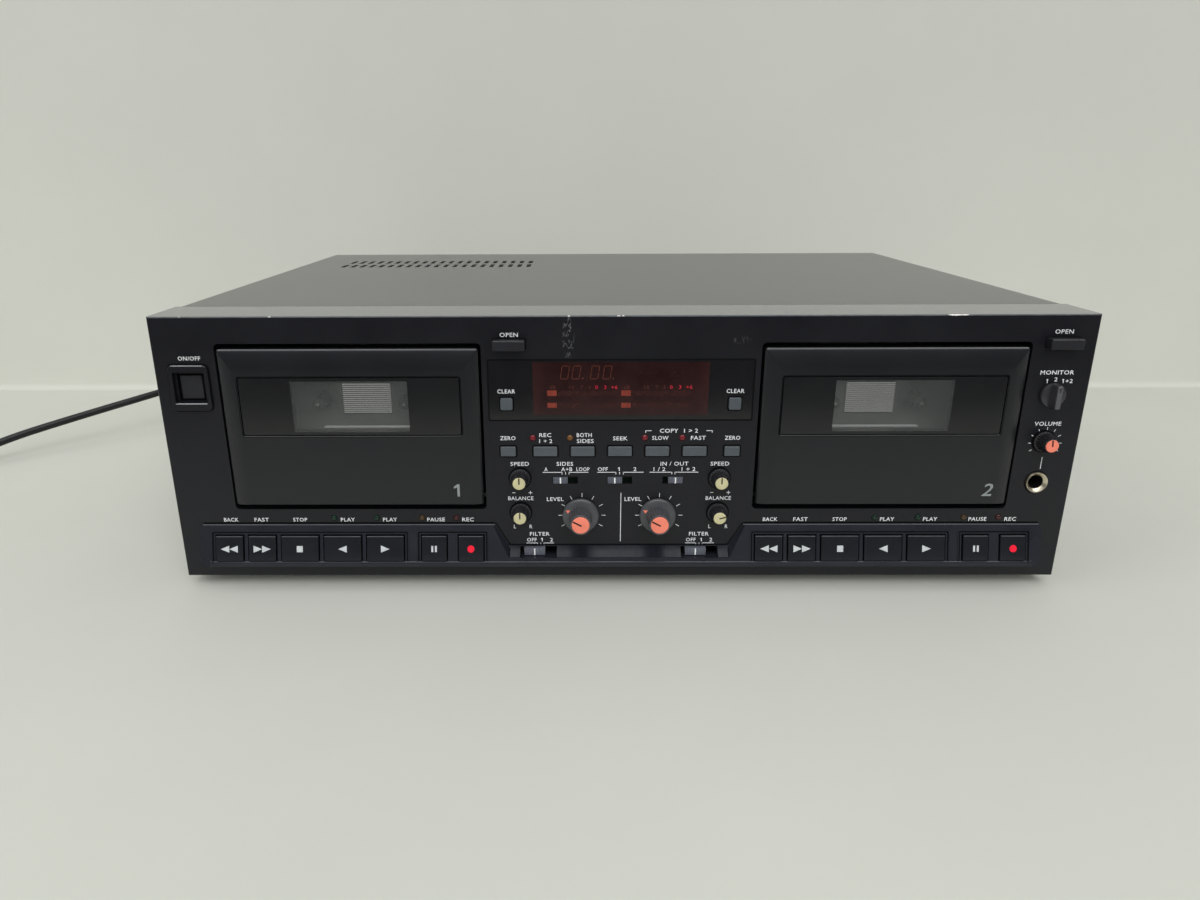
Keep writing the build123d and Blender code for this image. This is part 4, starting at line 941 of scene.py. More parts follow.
def makeLevers(names, ribs, ribDepth, flat, flatFade, endFade, cut, stripe, stripeInset, stripeSink,
               stripeLift, colour, lineColour):
    # outline seen from above: straight sides and back, and a front whose depth is a wave with a flat middle;
    # carried up from the lever's foot to its top
    leverFinish = finish("leverGrey", colour, rough=0.42, cloud=200.0)
    lineFinish = finish("leverLine", lineColour, rough=0.5, cloud=400.0)
    across = np.linspace(0, 1, 97)
    off = np.abs(across - 0.5)
    fade = np.clip((off - flat) / flatFade, 0, 1) * np.clip((0.5 - off) / endFade, 0, 1)
    wave = ribDepth * fade * (0.5 - 0.5 * np.cos(across * 2 * math.pi * ribs))
    for node in names:
        low, high = spread(node)
        x = np.r_[low[0] + (high[0] - low[0]) * across, high[0], low[0]]
        y = np.r_[low[1] + wave, high[1], high[1]]
        rows = ((low[2], cut), (low[2] + cut, 0.0), (high[2] - cut, 0.0), (high[2], cut))
        body = lofted([np.c_[x, np.maximum(y, low[1] + step), np.full(len(x), z)] for z, step in rows])
        addPiece(f"{node}_lever", [body], leverFinish, node, [node], sharp=50)
        middle = (low[0] + high[0]) / 2
        line = bar((middle, low[2] + stripeInset), (middle, high[2] - stripeInset), stripe)
        addPiece(f"{node}_line", [raised(line, low[1] + stripeSink, stripeLift)], lineFinish, node)


makeLevers(**levers)
print("buttons and switches done")

# Knobs: fluted grips with a coloured cap and a dark pointer line. Grip rows: radius, depth, fluted or not.
# Pointers: inner and outer radius, width. Turns are clockwise from the top

trimKnob = dict(
    names=["pitch_knob_1", "pitch_knob_2", "balance_knob_1", "balance_knob_2", "phones_level_knob"],
    turns={"balance_knob_2": 75, "phones_level_knob": -6}, flutes=24, fluteDepth=0.12,
    grip=[(0, -7.85, 0), (3.0, -7.85, 0), (3.12, -8.05, 0), (3.32, -8.0, 1), (3.6, -7.6, 1), (3.75, -7.0, 1),
          (4.05, -4.8, 1), (4.35, -2.6, 1), (4.55, -1.5, 1), (4.9, -1.15, 0), (4.9, -0.5, 0), (3.0, -0.5, 0),
          (3.0, 4.5, 0), (0, 4.5, 0)],
    cap=[(0, -8.36), (1.8, -8.35), (2.78, -8.3), (3.02, -8.12), (3.08, -7.6), (0, -7.6)], capSides=48,
    pointer=(-0.2, 2.9, 0.62), front=-8.46, hole=5.7)
inputKnob = dict(
    names=["input_knob_1", "input_knob_2"], turn=-62, flutes=24, fluteDepth=0.09,
    grip=[(0, -12.8, 0), (4.3, -12.8, 0), (4.65, -13.0, 0), (5.0, -12.85, 0), (5.2, -12.4, 0),
          (4.9, -12.2, 1), (5.0, -11.7, 1), (5.3, -7.6, 1), (5.62, -3.6, 1), (5.72, -2.75, 1),
          (6.1, -2.62, 0), (6.1, -2.2, 0), (0, -2.2, 0)],
    skirt=[(4.0, -2.3), (5.9, -2.62), (8.2, -2.5), (8.65, -2.2), (9.0, -1.6), (9.0, -0.5), (3.0, -0.5),
           (3.0, 4.5), (0, 4.5), (0, -2.3)],
    cap=[(0, -13.3), (2.6, -13.29), (3.95, -13.24), (4.28, -13.0), (4.34, -12.4), (0, -12.4)], capSides=64,
    pointer=(-0.5, 4.15, 0.75), front=-13.4, arrowPlace=(-6.2, 2.7), arrowHalf=1.15, arrowTall=1.7,
    arrowDepth=-2.16, arrowLift=0.5)
selector = dict(  # wing rows: half width, half height, depth, corner
    disc=[(0, -2.0), (5.3, -2.0), (5.65, -1.85), (5.8, -1.5), (5.9, -0.5), (3.0, -0.5), (3.0, 4.5),
          (0, 4.5)],
    wing=[(2.3, 5.6, -1.8, 1.6), (2.0, 5.7, -2.6, 1.2), (1.6, 5.7, -4.6, 0.9), (1.4, 5.6, -6.2, 0.8),
          (1.2, 5.3, -6.5, 0.7)],
    faceWide=1.15, faceTall=5.3, faceFront=-6.6, faceBack=-6.4, faceCorner=0.5, faceEdge=0.12,
    line=(2.6, 4.8), lineWide=0.5, lineDepth=-6.5, lineLift=0.14)
knobColours = dict(grip=(0.016, 0.016, 0.018), skirt=(0.062, 0.063, 0.068), cream=(0.53, 0.49, 0.285),
                   orange=(0.82, 0.215, 0.14), pointer=(0.016, 0.012, 0.012), bar=(0.030, 0.030, 0.034),
                   face=(0.075, 0.076, 0.080))
pointerThick = 0.4


def addCap(node, knob, turn, capFinish, pointerFinish):
    x, _, z = spot(node)
    addPiece(f"{node}_cap", [turned(knob["cap"], (x, z), knob["capSides"])], capFinish, node)
    line = raised(radial(x, z, *knob["pointer"], turn), knob["front"] + pointerThick, pointerThick)
    addPiece(f"{node}_pointer", [line], pointerFinish, node)


def makeKnobs():
    gripFinish = finish("knobBlack", knobColours["grip"], rough=0.28, cloud=250.0, grain=2600.0, specular=0.6)
    skirtFinish = finish("skirtGrey", knobColours["skirt"], rough=0.34, shift=0.2, cloud=160.0)
    creamFinish = finish("capCream", knobColours["cream"], rough=0.45, shift=0.10, cloud=260.0)
    orangeFinish = finish("capOrange", knobColours["orange"], rough=0.45, shift=0.07, cloud=260.0)
    pointerFinish = finish("capPointer", knobColours["pointer"], rough=0.6, cloud=300.0)
    holeShades = []
    for node in trimKnob["names"]:
        x, _, z = spot(node)
        grip = turned(trimKnob["grip"], (x, z), 180, trimKnob["flutes"], trimKnob["fluteDepth"])
        addPiece(f"{node}_grip", [grip], gripFinish, node, [node])
        capFinish = orangeFinish if node == "phones_level_knob" else creamFinish
        addCap(node, trimKnob, trimKnob["turns"].get(node, 0), capFinish, pointerFinish)
        # painted shade: a dark disc round the knob's foot, for the shade in the gap to the panel
        holeShades.append(mark(disc(x, z, trimKnob["hole"], 48)))
    half, tall = inputKnob["arrowHalf"], inputKnob["arrowTall"] / 2
    for node in inputKnob["names"]:
        x, _, z = spot(node)
        skirt = turned(inputKnob["skirt"], (x, z), 96)
        addPiece(f"{node}_skirt", [skirt], skirtFinish, node, [node])
        grip = turned(inputKnob["grip"], (x, z), 192, inputKnob["flutes"], inputKnob["fluteDepth"])
        addPiece(f"{node}_grip", [grip], skirtFinish, node)
        addCap(node, inputKnob, inputKnob["turn"], orangeFinish, pointerFinish)
        arrow = np.array([(-half, tall), (0.0, -tall), (half, tall)]) + inputKnob["arrowPlace"] + [x, z]
        arrow = raised(arrow, inputKnob["arrowDepth"], inputKnob["arrowLift"])
        addPiece(f"{node}_arrow", [arrow], orangeFinish, node)
    addPiece("knobHoleShades", holeShades, shadeFinish)
    node = "phones_selector"
    x, _, z = spot(node)
    wing = [ringAt(x, z, 2 * wide, 2 * tall, *rest) for wide, tall, *rest in selector["wing"]]
    shapes = [turned(selector["disc"], (x, z), 64), framed(wing, steps=6)]
    barFinish = finish("selectorGrey", knobColours["bar"], rough=0.36, cloud=200.0)
    addPiece("selector_knob", shapes, barFinish, node, [node])
    wide, tall = selector["faceWide"], selector["faceTall"]
    face = slab(x - wide, x + wide, z - tall, z + tall, selector["faceFront"], selector["faceBack"],
                selector["faceCorner"], selector["faceEdge"])
    faceFinish = finish("selectorFace", knobColours["face"], rough=0.45, cloud=200.0)
    addPiece("selector_face", [face], faceFinish, node)
    start, end = ((x, z + height) for height in selector["line"])
    line = raised(bar(start, end, selector["lineWide"]), selector["lineDepth"], selector["lineLift"])
    addPiece("selector_line", [line], pointerFinish, node)


makeKnobs()
print("knobs done")

# Indicator lamps: small domes. Keys: key below the lamp, colour, how far left of the key's middle it stands

lamps = dict(dome=[(0, -1.0), (0.5, -0.96), (0.95, -0.8), (1.28, -0.5), (1.45, -0.1), (1.45, 4.5), (0, 4.5)],
             function=[("red", -41.9, 73.3), ("amber", -24.0, 73.3), ("red", 11.9, 73.3),
                       ("red", 29.85, 73.3)],
             keys=[("reverse_play_key", "green", 4.15), ("play_key", "green", 4.15),
                   ("pause_key", "dimAmber", 5.95), ("record_key", "dimRed", 7.25)], rowHeight=31.8,
             colours={"red": (0.15, 0.010, 0.014), "amber": (0.15, 0.065, 0.016),
                      "green": (0.004, 0.022, 0.012), "dimAmber": (0.050, 0.029, 0.011),
                      "dimRed": (0.040, 0.010, 0.010)},
             glow={"red": 0.02, "amber": 0.02})


def makeLamps():
    places = lamps["function"] + [(colour, spot(f"{key}_{number}")[0] - shift, lamps["rowHeight"])
                                  for number in decks for key, colour, shift in lamps["keys"]]
    for name, colour in lamps["colours"].items():
        lens = finish(f"lens_{name}", colour, rough=0.18, shift=0.25, cloud=600.0, lift=0.05,
                      glow=(colour, lamps["glow"].get(name, 0.0)))
        shapes = [turned(lamps["dome"], centre, 24) for kind, *centre in places if kind == name]
        replaced = ["indicator_lamps"] if name == "red" else ()
        addPiece(f"lamps_{name}", shapes, lens, caseBody, replaced)


makeLamps()
print("lamps done")

# Display: black gloss window, red filter, and its marks

display = dict(
    front=0.2, half=41.4, low=84.6, high=110.2, lift=0.03, filterSink=0.05, filterThick=0.07, markSink=0.015,
    glass=dict(colour=(0.0078, 0.0078, 0.0086), rough=0.14, roughShift=0.03, cloud=50.0, lift=0.02),
    filter=dict(colour=(0.019, 0.0048, 0.0046), shift=0.25, rough=0.20, cloud=90.0, lift=0.04),
    endsFrom=0.036, endsTo=0.041, ends=(0.027, 0.0075, 0.0070), dotScale=620.0, dotSize=0.12,
    dots=(0.042, 0.0075, 0.0065),
    zeros=[-28.5, -23.1, -14.4, -8.6], digitWide=3.5, digitTall=6.2, digitLow=102.2, slant=0.16, stroke=0.36,
    strokeShare=0.86, stops=[(-17.9, 102.4), (-3.6, 102.4)], stopRadius=0.42,
    dashes=[8.8, 13.8, 23.3, 28.4], dashHeight=105.2, dashLong=2.6, dashHalf=0.25,
    blocks=[(*ends, *heights) for heights in ((94.0, 96.7), (88.2, 90.6))
            for ends in ((-34.7, -30.2), (0.3, 4.8))],
    strips=[(*ends, *heights) for heights in ((94.2, 96.5), (88.3, 90.5))
            for ends in ((-29.6, -0.6), (5.4, 33.6))],
    faint=[("dB", -33.8, -30.6), ("10", -24.6, -21.6), ("7", -18.8, -17.6), ("3", -15.4, -14.0),
           ("dB", 1.4, 4.4), ("10", 10.6, 13.6), ("7", 16.4, 17.6), ("3", 19.8, 21.2)],
    bright=[("0", -12.0, -10.8), ("3", -8.0, -6.6), ("+6", -4.6, -1.4), ("0", 23.2, 24.4), ("3", 27.2, 28.6),
            ("+6", 30.6, 33.8)],
    scaleHeight=98.2, scaleTall=1.7)
zeroStrokes = [((0, 1), (1, 1)), ((1, 1), (1, 0.5)), ((1, 0.5), (1, 0)), ((0, 0), (1, 0)),
               ((0, 0), (0, 0.5)), ((0, 0.5), (0, 1))]


def makeFilterFinish():
    # dark red filter, brighter at its two ends, with faint rows of dots
    material = finish("filterRed", **display["filter"])
    tree = material.node_tree
    across = compute(tree, "ABSOLUTE", split(tree, objectPlace(tree))["X"])
    overlay(material, ranged(tree, across, display["endsFrom"], display["endsTo"]), display["ends"])
    overlay(material, speckle(tree, display["dotScale"], display["dotSize"]), display["dots"])
    return material


def digitStrokes(left):
    lines = []
    for stroke in zeroStrokes:
        ends = np.array(stroke, float) * [display["digitWide"], display["digitTall"]]
        ends[:, 0] += left + display["slant"] * ends[:, 1]
        ends[:, 1] += display["digitLow"]
        middle = ends.mean(0)
        lines.append(bar(*(middle + (ends - middle) * display["strokeShare"]), display["stroke"]))
    return lines


def makeDisplay():
    dress(finish("displayGloss", **display["glass"]), "display_window")
    front, height, half = display["front"], display["dashHeight"], display["dashHalf"]
    top = front - display["markSink"]

    def addMarks(name, outlines, *look, **more):
        addPiece(name, [raised(outline, top, display["lift"]) for outline in outlines], finish(*look, **more))

    def addScale(name, rows, *look, **more):
        shapes = [word(*row, display["scaleHeight"], display["scaleTall"], top) for row in rows]
        addPiece(name, shapes, finish(*look, **more))

    outline = oblong(-display["half"], display["half"], display["low"], display["high"])
    addPiece("displayFilter", [raised(outline, front + display["filterSink"], display["filterThick"])],
             makeFilterFinish())
    digits = [line for left in display["zeros"] for line in digitStrokes(left)]
    addMarks("displayDigits", digits + [disc(x, z, display["stopRadius"], 12) for x, z in display["stops"]],
             "digitOrange", (0.065, 0.018, 0.010), rough=0.3, shift=0.3, cloud=500.0,
             glow=((0.5, 0.10, 0.03), 0.035))
    dashes = [oblong(left, left + display["dashLong"], height - half, height + half)
              for left in display["dashes"]]
    addMarks("displayStrips", [oblong(*row) for row in display["strips"]] + dashes,
             "stripRed", (0.026, 0.0055, 0.005), rough=0.25, shift=0.3, cloud=500.0)
    addScale("displayFaint", display["faint"], "faintRed", (0.06, 0.014, 0.011), rough=0.3, cloud=900.0)
    addMarks("displayBlocks", [oblong(*row) for row in display["blocks"]],
             "blockOrange", (0.15, 0.026, 0.016), rough=0.3, shift=0.35, cloud=900.0,
             glow=((0.6, 0.08, 0.04), 0.06))
    addScale("displayScale", display["bright"], "scaleRed", (0.38, 0.013, 0.032), rough=0.3, cloud=700.0,
             glow=((1.0, 0.02, 0.06), 0.13))


buttonShadeSizes = dict(corner=0.4, buttons=(0.1, 0.75), resets=(0.1, 0.7), window=(0.0, 0.6))


def makeButtonGaps():
    # painted shade in the gap round each grey button and round the display window
    rows = [(name, 0.0, buttonShadeSizes["buttons"]) for name in functionNames]
    rows += [(name, display["front"], buttonShadeSizes["resets"]) for name in resetNames]
    shapes = []
    for name, depth, distances in rows + [("display_window", 0.0, buttonShadeSizes["window"])]:
        low, high = spread(name)
        shapes.append(border((low[0], high[0], low[2], high[2], depth, buttonShadeSizes["corner"]), *distances))
    addPiece("buttonGapShades", shapes, shadeFinish)


makeDisplay()
makeButtonGaps()
print("display done")

# Steel case: satin painted cover and tray, rubber feet, screws, and what is inside

caseLooks = {
    "top_cover": dict(name="coverPaint", colour=(0.074, 0.074, 0.074), shift=0.03, rough=0.28,
                      roughShift=0.006, cloud=9.0, grain=1900.0, lift=0.22, specular=0.9),
    "chassis_tray": dict(name="trayPaint", colour=(0.035, 0.035, 0.036), shift=0.12, rough=0.48, cloud=40.0,
                         grain=1500.0, lift=0.3),
    "rubber_feet": dict(name="footRubber", colour=(0.018, 0.018, 0.018), shift=0.2, rough=0.7, cloud=150.0,
                        grain=1500.0, lift=0.5),
    "cover_screws": dict(name="screwBlack", colour=(0.05, 0.05, 0.052), rough=0.35, cloud=600.0,
                         metallic=0.9),
    # the boards' green is painted near black: painted shade, for the dark inside of the case
    "circuit_boards": dict(name="boardGreenInShade", colour=(0.007, 0.016, 0.010), shift=0.2, rough=0.45,
                           cloud=120.0),
    "power_transformer": dict(name="coreSteel", colour=(0.16, 0.15, 0.13), rough=0.5, cloud=100.0,
                              stretch=(1.0, 1.0, 12.0)),
}
dust = dict(scale=28.0, size=0.006, colour=(0.085, 0.085, 0.085))
for node, look in caseLooks.items():
    material = finish(**look)
    if node == "top_cover":
        overlay(material, speckle(material.node_tree, dust["scale"], dust["size"]), dust["colour"])
    dress(material, node)

# Headphone jack and rear sockets: closed profiles of (radius, depth)

jack = dict(z=50.4, ring=[(3.5, 6.0), (3.5, 0.2), (4.7, -1.2), (4.9, -1.3), (5.05, -1.25), (5.2, -0.9),
                          (5.2, 0.05), (4.35, 0.05), (4.35, 6.0)],
            liner=[(3.5, 0.25), (3.3, 0.45), (3.25, 0.8), (3.25, 6.0), (3.5, 6.0)],
            shade=[(5.2, 0.02), (5.2, -0.04), (5.75, -0.04), (5.75, 0.02)],
            barrel=[(3.3, 3.4), (3.0, 3.4), (3.0, 30.0), (0, 30.0), (0, 32.0), (4.35, 32.0), (4.35, 5.9),
                    (3.3, 5.9)])
sockets = dict(columns=[60.0, 75.0, 90.0, 105.0], rows=[30.0, 44.0], rear=306.0,
               collar=[(4.2, 0.4), (4.2, 1.9), (5.2, 1.9), (5.6, 1.5), (5.6, 0.0), (4.2, 0.0)],
               shell=[(2.9, 9.0), (3.9, 9.0), (4.1, 8.8), (4.1, -8.0), (2.9, -8.0)],
               core=[(1.7, 8.4), (2.95, 8.4), (2.95, -8.0), (0, -8.0), (0, 1.0), (1.7, 1.0)],
               colours=[(0.62, 0.62, 0.60), (0.50, 0.03, 0.03)], liner=(0.006, 0.006, 0.006),
               metal=dict(colour=(0.80, 0.72, 0.55), shift=0.10, rough=0.32, cloud=400.0, metallic=1.0))


def around(profile, places, sides, depth=0.0):
    # a closed profile turned round each place
    loop = [(radius, depth + along) for radius, along in profile + profile[:1]]
    return [turned(loop, place, sides) for place in places]


def makeSockets():
    black = finish("jackLiner", sockets["liner"], rough=0.45, cloud=300.0)
    metal = finish("socketNickel", **sockets["metal"])
    front, rear = [(spot("phones_level_knob")[0], jack["z"])], sockets["rear"]
    shells = around(jack["ring"], front, 64)
    cores = around(jack["barrel"], front, 48) + around(jack["liner"], front, 48)
    addPiece("jackShade", around(jack["shade"], front, 48), shadeFinish)
    for row, (height, colour) in enumerate(zip(sockets["rows"], sockets["colours"])):
        places = [(column, height) for column in sockets["columns"]]
        plastic = finish(f"socketCollar_{row}", colour, rough=0.4, cloud=300.0)
        addPiece(f"socketCollars_{row}", around(sockets["collar"], places, 32, rear), plastic)
        shells += around(sockets["shell"], places, 32, rear)
        cores += around(sockets["core"], places, 32, rear)
    addPiece("socketShells", shells, metal, caseBody, ["jack_sockets"])
    addPiece("socketCores", cores, black)


makeSockets()
print("case done")

# Mains lead: one smooth line along the route, then a coil of two layers, a tie and a two-pin plug

lead = dict(
    diameter=5.4, length=1.93, pitch=6.0, radius=42.0, halfTurns=6, pointsPerHalf=8, tail=(3.84, 16.0, 32.0),
    route=[(-186.0, 328.0, 27.0), (-186.0, 350.0, 27.0), (-203.0, 380.0, 27.5), (-240.0, 398.0, 28.0),
           (-290.0, 386.0, 28.0), (-334.0, 340.0, 27.0), (-366.0, 281.0, 24.0), (-407.0, 236.3, 16.9),
           (-445.0, 197.3, 9.2), (-470.0, 162.0, -2.0), (-484.0, 122.0, -3.2), (-484.0, 84.0, -3.2)],
    look=dict(colour=(0.012, 0.012, 0.013), rough=0.42, cloud=80.0, grain=1500.0, lift=0.12, specular=0.3),
)
coilInner = lead["radius"] - lead["halfTurns"] * lead["pitch"] / 2


def halfCircle(x, sideY, heading, radius, low, high):
    # control points of half a turn, set out a little so that the spline runs at the radius
    count = lead["pointsPerHalf"]
    turn = (np.arange(count) + 0.5) * math.pi / count
    outer = radius / (0.5 + 0.5 * math.cos(math.pi / count / 2) ** 2)
    centre = x + heading * radius
    return np.stack([centre - heading * outer * np.cos(turn), sideY + heading * outer * np.sin(turn),
                     low + (high - low) * turn / math.pi], -1)


def leadPoints():
    # the coil winds inwards on the table, then outwards in a second layer on top of it
    route = np.array(lead["route"])
    x, startY, low = route[-1]
    high = low + lead["pitch"]
    sideY = startY - lead["diameter"]
    heading, turns = -1, []
    steps = np.arange(lead["halfTurns"]) * lead["pitch"] / 2
    inward = [(lead["radius"] - step, low, low) for step in steps]
    outward = [(coilInner + step + lead["pitch"] / 2, high, high) for step in steps]
    for radius, fromZ, toZ in inward + [(coilInner, low, high)] + outward:
        turns.append(halfCircle(x, sideY, heading, radius, fromZ, toZ))
        x, heading = x + heading * 2 * radius, -heading
    tail = [(x, sideY + heading * reach, high) for reach in lead["tail"]]
    return np.concatenate([route, *turns, tail])


def makeLead():
    curve = bpy.data.curves.new("mainsLead", "CURVE")
    curve.dimensions = "3D"
    points = toFrame(leadPoints())
    spline = curve.splines.new("NURBS")
    spline.points.add(len(points) - 1)
    spline.points.foreach_set("co", np.c_[points, np.ones(len(points))].ravel())
    spline.order_u = 3
    spline.use_endpoint_u = True
    spline.resolution_u = 6
    curve.bevel_depth = lead["diameter"] * mm / 2
    curve.bevel_resolution = 5
    curve.use_fill_caps = True
    curve.materials.append(finish("leadVinyl", **lead["look"]))
    piece = linked("mainsLead", curve)
    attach(piece, caseBody)
    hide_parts("cord_stretch", "cord_coil")
    return piece, points


relief = dict(x=-186.0, z=27.0, rear=306.0, flange=2.0, radius=8.0, lip=0.3, bevel=0.5, boot=20.0, base=5.6,
              tip=3.6, ribs=6, grooveDeep=0.5, grooveGain=1.6, grooveFrom=0.3, inner=6.0, hole=5.9)


def makeRelief(material, x, z, rear, flange, radius, lip, bevel, boot, base, tip, ribs, grooveDeep,
               grooveGain, grooveFrom, inner, hole):
    # boot that tapers towards the lead, with a groove between each pair of ribs
    share = np.linspace(0, 1, ribs * 12 + 1)
    groove = grooveDeep * np.clip(-grooveGain * np.cos(share * 2 * math.pi * ribs) - grooveFrom, 0, 1)
    start = rear + flange
    root = [(0, rear - inner), (hole, rear - inner), (hole, rear), (radius - lip, rear), (radius, rear + lip),
            (radius, start - bevel), (radius - bevel, start)]
    ribbed = np.c_[base + (tip - base) * share - groove, start + share * boot]
    profile = np.concatenate([root, ribbed, [(0, start + boot)]])
    return addPiece("strainRelief", [turned(profile, (x, z))], material)


plug = dict(radius=4.2, wide=34.0, thick=16.0, long=30.0, overlap=3.0, swellGain=1.9, ridges=5, ridgeDeep=0.5,
            ridgeFrom=0.3, ridgeTo=0.85, rounding=0.62, pinLength=19.0, pinSpacing=19.0, pinSink=0.5,
            pinRadius=2.0, pinTip=[(2.0, -1.2), (1.5, -0.35), (0.8, 0), (0, 0)],
            boot=[(0, 0), (3.3, 0), (3.5, 0.8), (3.2, 1.6), (3.7, 2.6), (3.4, 3.6), (3.9, 4.8), (3.6, 6.0),
                  (4.1, 7.4), (4.2, 12.0), (0, 12.0)],
            look=dict(colour=(0.014, 0.014, 0.015), rough=0.42, cloud=120.0, grain=1200.0, lift=0.3),
            pinLook=dict(colour=(0.74, 0.72, 0.66), rough=0.22, cloud=300.0, metallic=1.0))


def makePlug(end, radius, wide, thick, long, overlap, swellGain, ridges, ridgeDeep, ridgeFrom, ridgeTo,
             rounding, pinLength, pinSpacing, pinSink, pinRadius, pinTip, boot, look, pinLook):
    # the body swells from the boot to its full width in an S curve and is drawn in by finger ridges
    x, y, z = end
    black, metal = finish("plugVinyl", **look), finish("plugPins", **pinLook)
    start = y + boot[-1][1]
    share = np.linspace(0, 1, 31)
    swell = np.clip(share ** 2 * (3 - 2 * share) * swellGain, 0, 1)
    ridge = ridgeDeep * np.clip(np.sin(share * math.pi * 2 * ridges), 0, 1)
    ridge *= (share > ridgeFrom) & (share < ridgeTo)
    halfWide = radius + (wide / 2 - radius) * swell - ridge
    halfThick = radius + (thick / 2 - radius) * swell
    depth = start - overlap + share * (long + overlap)
    corner = np.minimum(halfThick, halfWide) * rounding
    rings = np.stack([x - halfWide, x + halfWide, z - halfThick, z + halfThick, depth, corner], -1)
    shapes = [framed(rings, steps=7), turned([(size, y + along) for size, along in boot], (x, z), 40)]
    body = addPiece("plugBody", shapes, black, caseBody, ["cord_ends"])
    root, tip = start + long - pinSink, start + long + pinLength
    profile = [(0, root), (pinRadius, root)] + [(size, tip + along) for size, along in pinTip]
    pins = [turned(profile, (x + side * pinSpacing / 2, z), 28) for side in (-1, 1)]
    return [body, addPiece("plugPins", pins, metal), makeRelief(black, **relief)]


tie = dict(wide=7.0, wall=0.45, under=0.02, innerUnder=0.09, room=0.25, corner=1.6, innerCorner=1.2,
           look=dict(colour=(0.03, 0.03, 0.032), rough=0.7, cloud=300.0, grain=2200.0, lift=0.5))


def makeTie(wide, wall, under, innerUnder, room, corner, innerCorner, look):
    # a thin strap round all the turns on the coil's near side: a rounded loop carried across its width
    endX, startY, low = lead["route"][-1]
    sideY, half, reach = startY - lead["diameter"], wide / 2, lead["diameter"] / 2 + room
    near, far = sideY - lead["radius"] - reach, sideY - coilInner + reach
    floor, high = -baseZ / mm, low + lead["pitch"] + reach
    outer = (near - wall, far + wall, floor + under, high + wall), corner
    inner = (near, far, floor + innerUnder, high), innerCorner
    rings = [(*sides, across, rounding) for (sides, rounding), across in
             ((inner, -half), (outer, -half), (outer, half), (inner, half))]
    points, faces = framed(rings, steps=6, hollow=True)
    points = np.stack([endX - lead["radius"] + points[:, 1], points[:, 0], points[:, 2]], -1)
    return addPiece("leadTie", [(points, faces)], finish("tieStrap", **look))


leadPiece, leadLine = makeLead()
leadEnds = makePlug(toPanel(leadLine[-1]), **plug)
leadEnds + [makeTie(**tie)]
print("lead done")

# Stage: pale table running up into a pale wall, soft light from above, the photograph's camera

stage = dict(wide=6.0, front=-0.47, wall=0.262, bend=0.006, high=2.6,
             look=dict(colour=(0.60, 0.605, 0.545), rough=0.75, roughShift=0.05, cloud=3.0, shift=0.03,
                       grain=300.0, lift=0.05, specular=0.1))


def makeStage(wide, front, wall, bend, high, look):
    # profile along y and z: the table, a quarter round, the wall; carried along x
    turn = np.linspace(0, math.pi / 2, 12)
    y = np.r_[front, wall - bend + bend * np.sin(turn), wall]
    z = np.r_[0.0, bend - bend * np.cos(turn), high]
    x = np.array([-wide / 2, wide / 2])
    points = np.stack(np.broadcast_arrays(x[:, None], y[None], z[None]), -1).reshape(-1, 3)
    mesh = bpy.data.meshes.new("tableAndWall")
    mesh.from_pydata(points.tolist(), [], gridFaces(2, len(y))[:, ::-1].tolist())
    mesh.polygons.foreach_set("use_smooth", np.ones(len(mesh.polygons), bool))
    pale = finish("paleTable", **look)
    tree = pale.node_tree  # seen from behind, the wall is clear, so that the object shows from all sides
    clear = addNode(tree, "MixShader", {0: addNode(tree, "NewGeometry").outputs["Backfacing"],
                                        1: tree.nodes["Principled BSDF"].outputs[0],
                                        2: addNode(tree, "BsdfTransparent").outputs[0]})
    tree.links.new(clear.outputs[0], tree.nodes["Material Output"].inputs["Surface"])
    mesh.materials.append(pale)
    table = linked("tableAndWall", mesh)


lights = dict(sky=[(0.0, (0.05, 0.05, 0.055)), (0.50, (0.08, 0.08, 0.09)), (0.68, (0.13, 0.135, 0.15)),
                   (0.82, (0.42, 0.43, 0.46)), (0.92, (0.80, 0.82, 0.85)), (1.0, (0.88, 0.90, 0.93))],
              seen=(0.50, 0.51, 0.47),  # what the eye meets beyond the table
              lamps=[("roomSoft", (0.3, -2.6, 1.8), (0.0, 0.1, 0.05), 2.6, 80.0),
                     ("windowSoft", (-2.0, -0.9, 1.4), (0.0, 0.05, 0.05), 1.4, 9.0)],
              strip=dict(place=(0.0, -0.74, 2.2), long=4.0, deep=0.9, power=45.0))


def addLight(name, place, size, power):
    light = bpy.data.lights.new(name, "AREA")
    light.size, light.energy = size, power
    lamp = linked(name, light)
    lamp.location = place
    return lamp


def lookAxes(forward):
    # right, up and back axes of something that looks along forward
    forward = np.array(forward) / np.linalg.norm(forward)
    right = np.cross(forward, (0.0, 0.0, 1.0))
    right /= np.linalg.norm(right)
    return right, np.cross(right, forward), -forward


def turnTo(*axes):
    return Matrix([axis.tolist() for axis in axes]).transposed()


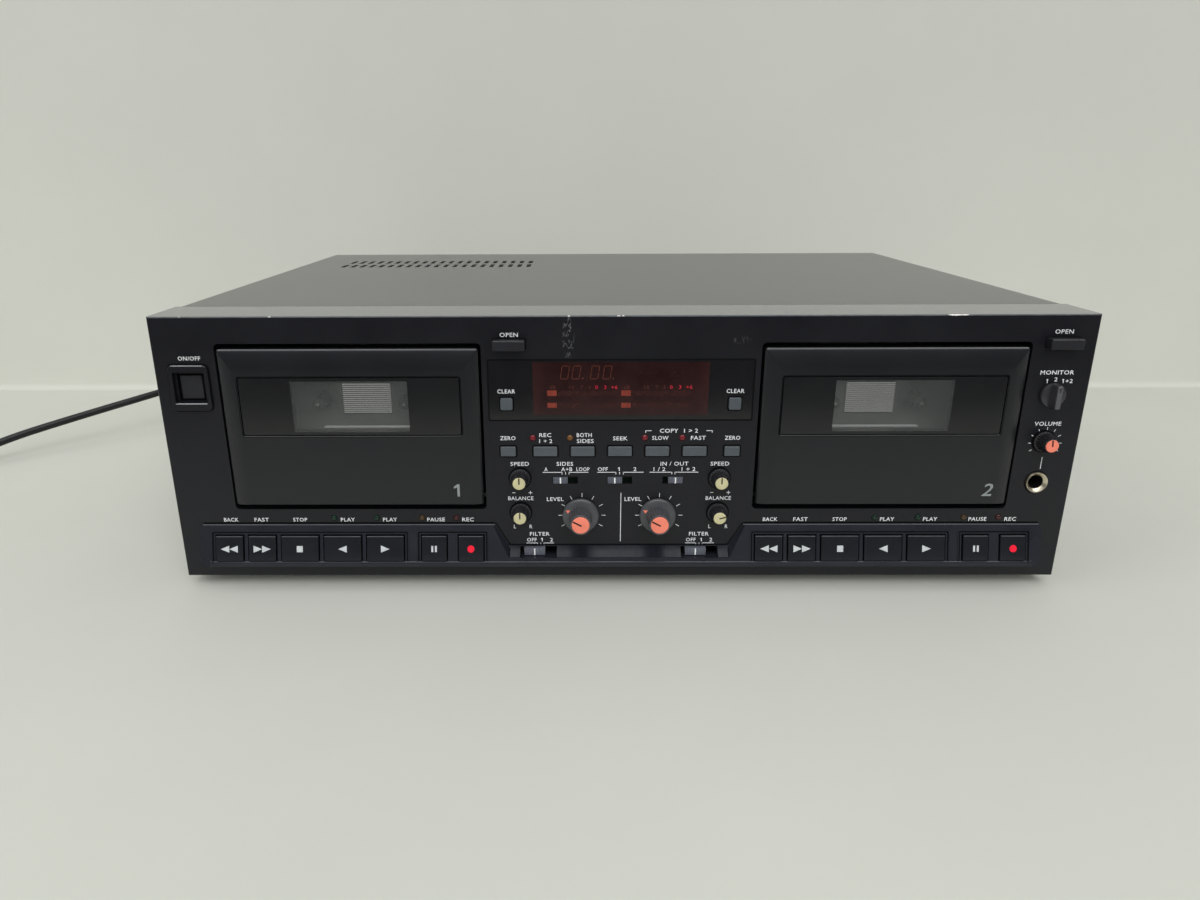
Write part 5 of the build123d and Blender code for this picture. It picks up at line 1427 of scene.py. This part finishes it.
def makeLights():
    # a room that is dark below the table's edge and bright above, but plain and pale to the eye
    world = bpy.data.worlds.new("softRoom")
    bpy.context.scene.world = world
    world.use_nodes = True
    sky = world.node_tree
    rise = ranged(sky, split(sky, addNode(sky, "TexCoord").outputs["Generated"])["Z"], -1.0, 1.0)
    shown = addNode(sky, "Mix", {0: addNode(sky, "LightPath").outputs["Is Camera Ray"],
                                 6: addRamp(sky, rise, lights["sky"]), 7: (*lights["seen"], 1.0)},
                    data_type="RGBA")
    sky.links.new(shown.outputs[2], sky.nodes["Background"].inputs["Color"])
    for name, place, aim, size, power in lights["lamps"]:
        lamp = addLight(name, place, size, power)
        lamp.visible_glossy = False  # the sky alone shows in the shine
        lamp.rotation_euler = turnTo(*lookAxes(np.array(aim) - np.array(place))).to_euler()
    strip = lights["strip"]  # a ceiling strip seen only in the shine of edges that slope up
    lamp = addLight("ceilingStrip", strip["place"], strip["long"], strip["power"])
    lamp.data.shape = "RECTANGLE"
    lamp.data.size_y = strip["deep"]
    lamp.visible_diffuse = False


camera = dict(eye=(-18.823, -380.480, 193.740), yaw=-0.516, pitch=18.403, roll=-0.264, focalPixels=831.52,
              axisPixel=573.758, framePixels=1200.0, sensor=36.0)


def makeCamera(eye, yaw, pitch, roll, focalPixels, axisPixel, framePixels, sensor):
    yaw, pitch, roll = np.radians((yaw, pitch, roll))
    forward = (math.sin(yaw) * math.cos(pitch), math.cos(yaw) * math.cos(pitch), -math.sin(pitch))
    right, up, back = lookAxes(forward)
    turnedRight = math.cos(roll) * right + math.sin(roll) * up
    turnedUp = math.cos(roll) * up - math.sin(roll) * right
    data = bpy.data.cameras.new("photoCamera")
    data.sensor_width = sensor
    data.lens = focalPixels * sensor / framePixels
    data.shift_x = 0.5 - axisPixel / framePixels
    place = turnTo(turnedRight, turnedUp, back).to_4x4()
    place.translation = toFrame(eye).tolist()
    bpy.context.scene.camera = linked("photoCamera", data)
    bpy.context.scene.camera.matrix_world = place


makeStage(**stage)
makeLights()
makeCamera(**camera)
bpy.context.scene.view_settings.view_transform = "Standard"
print("stage done")
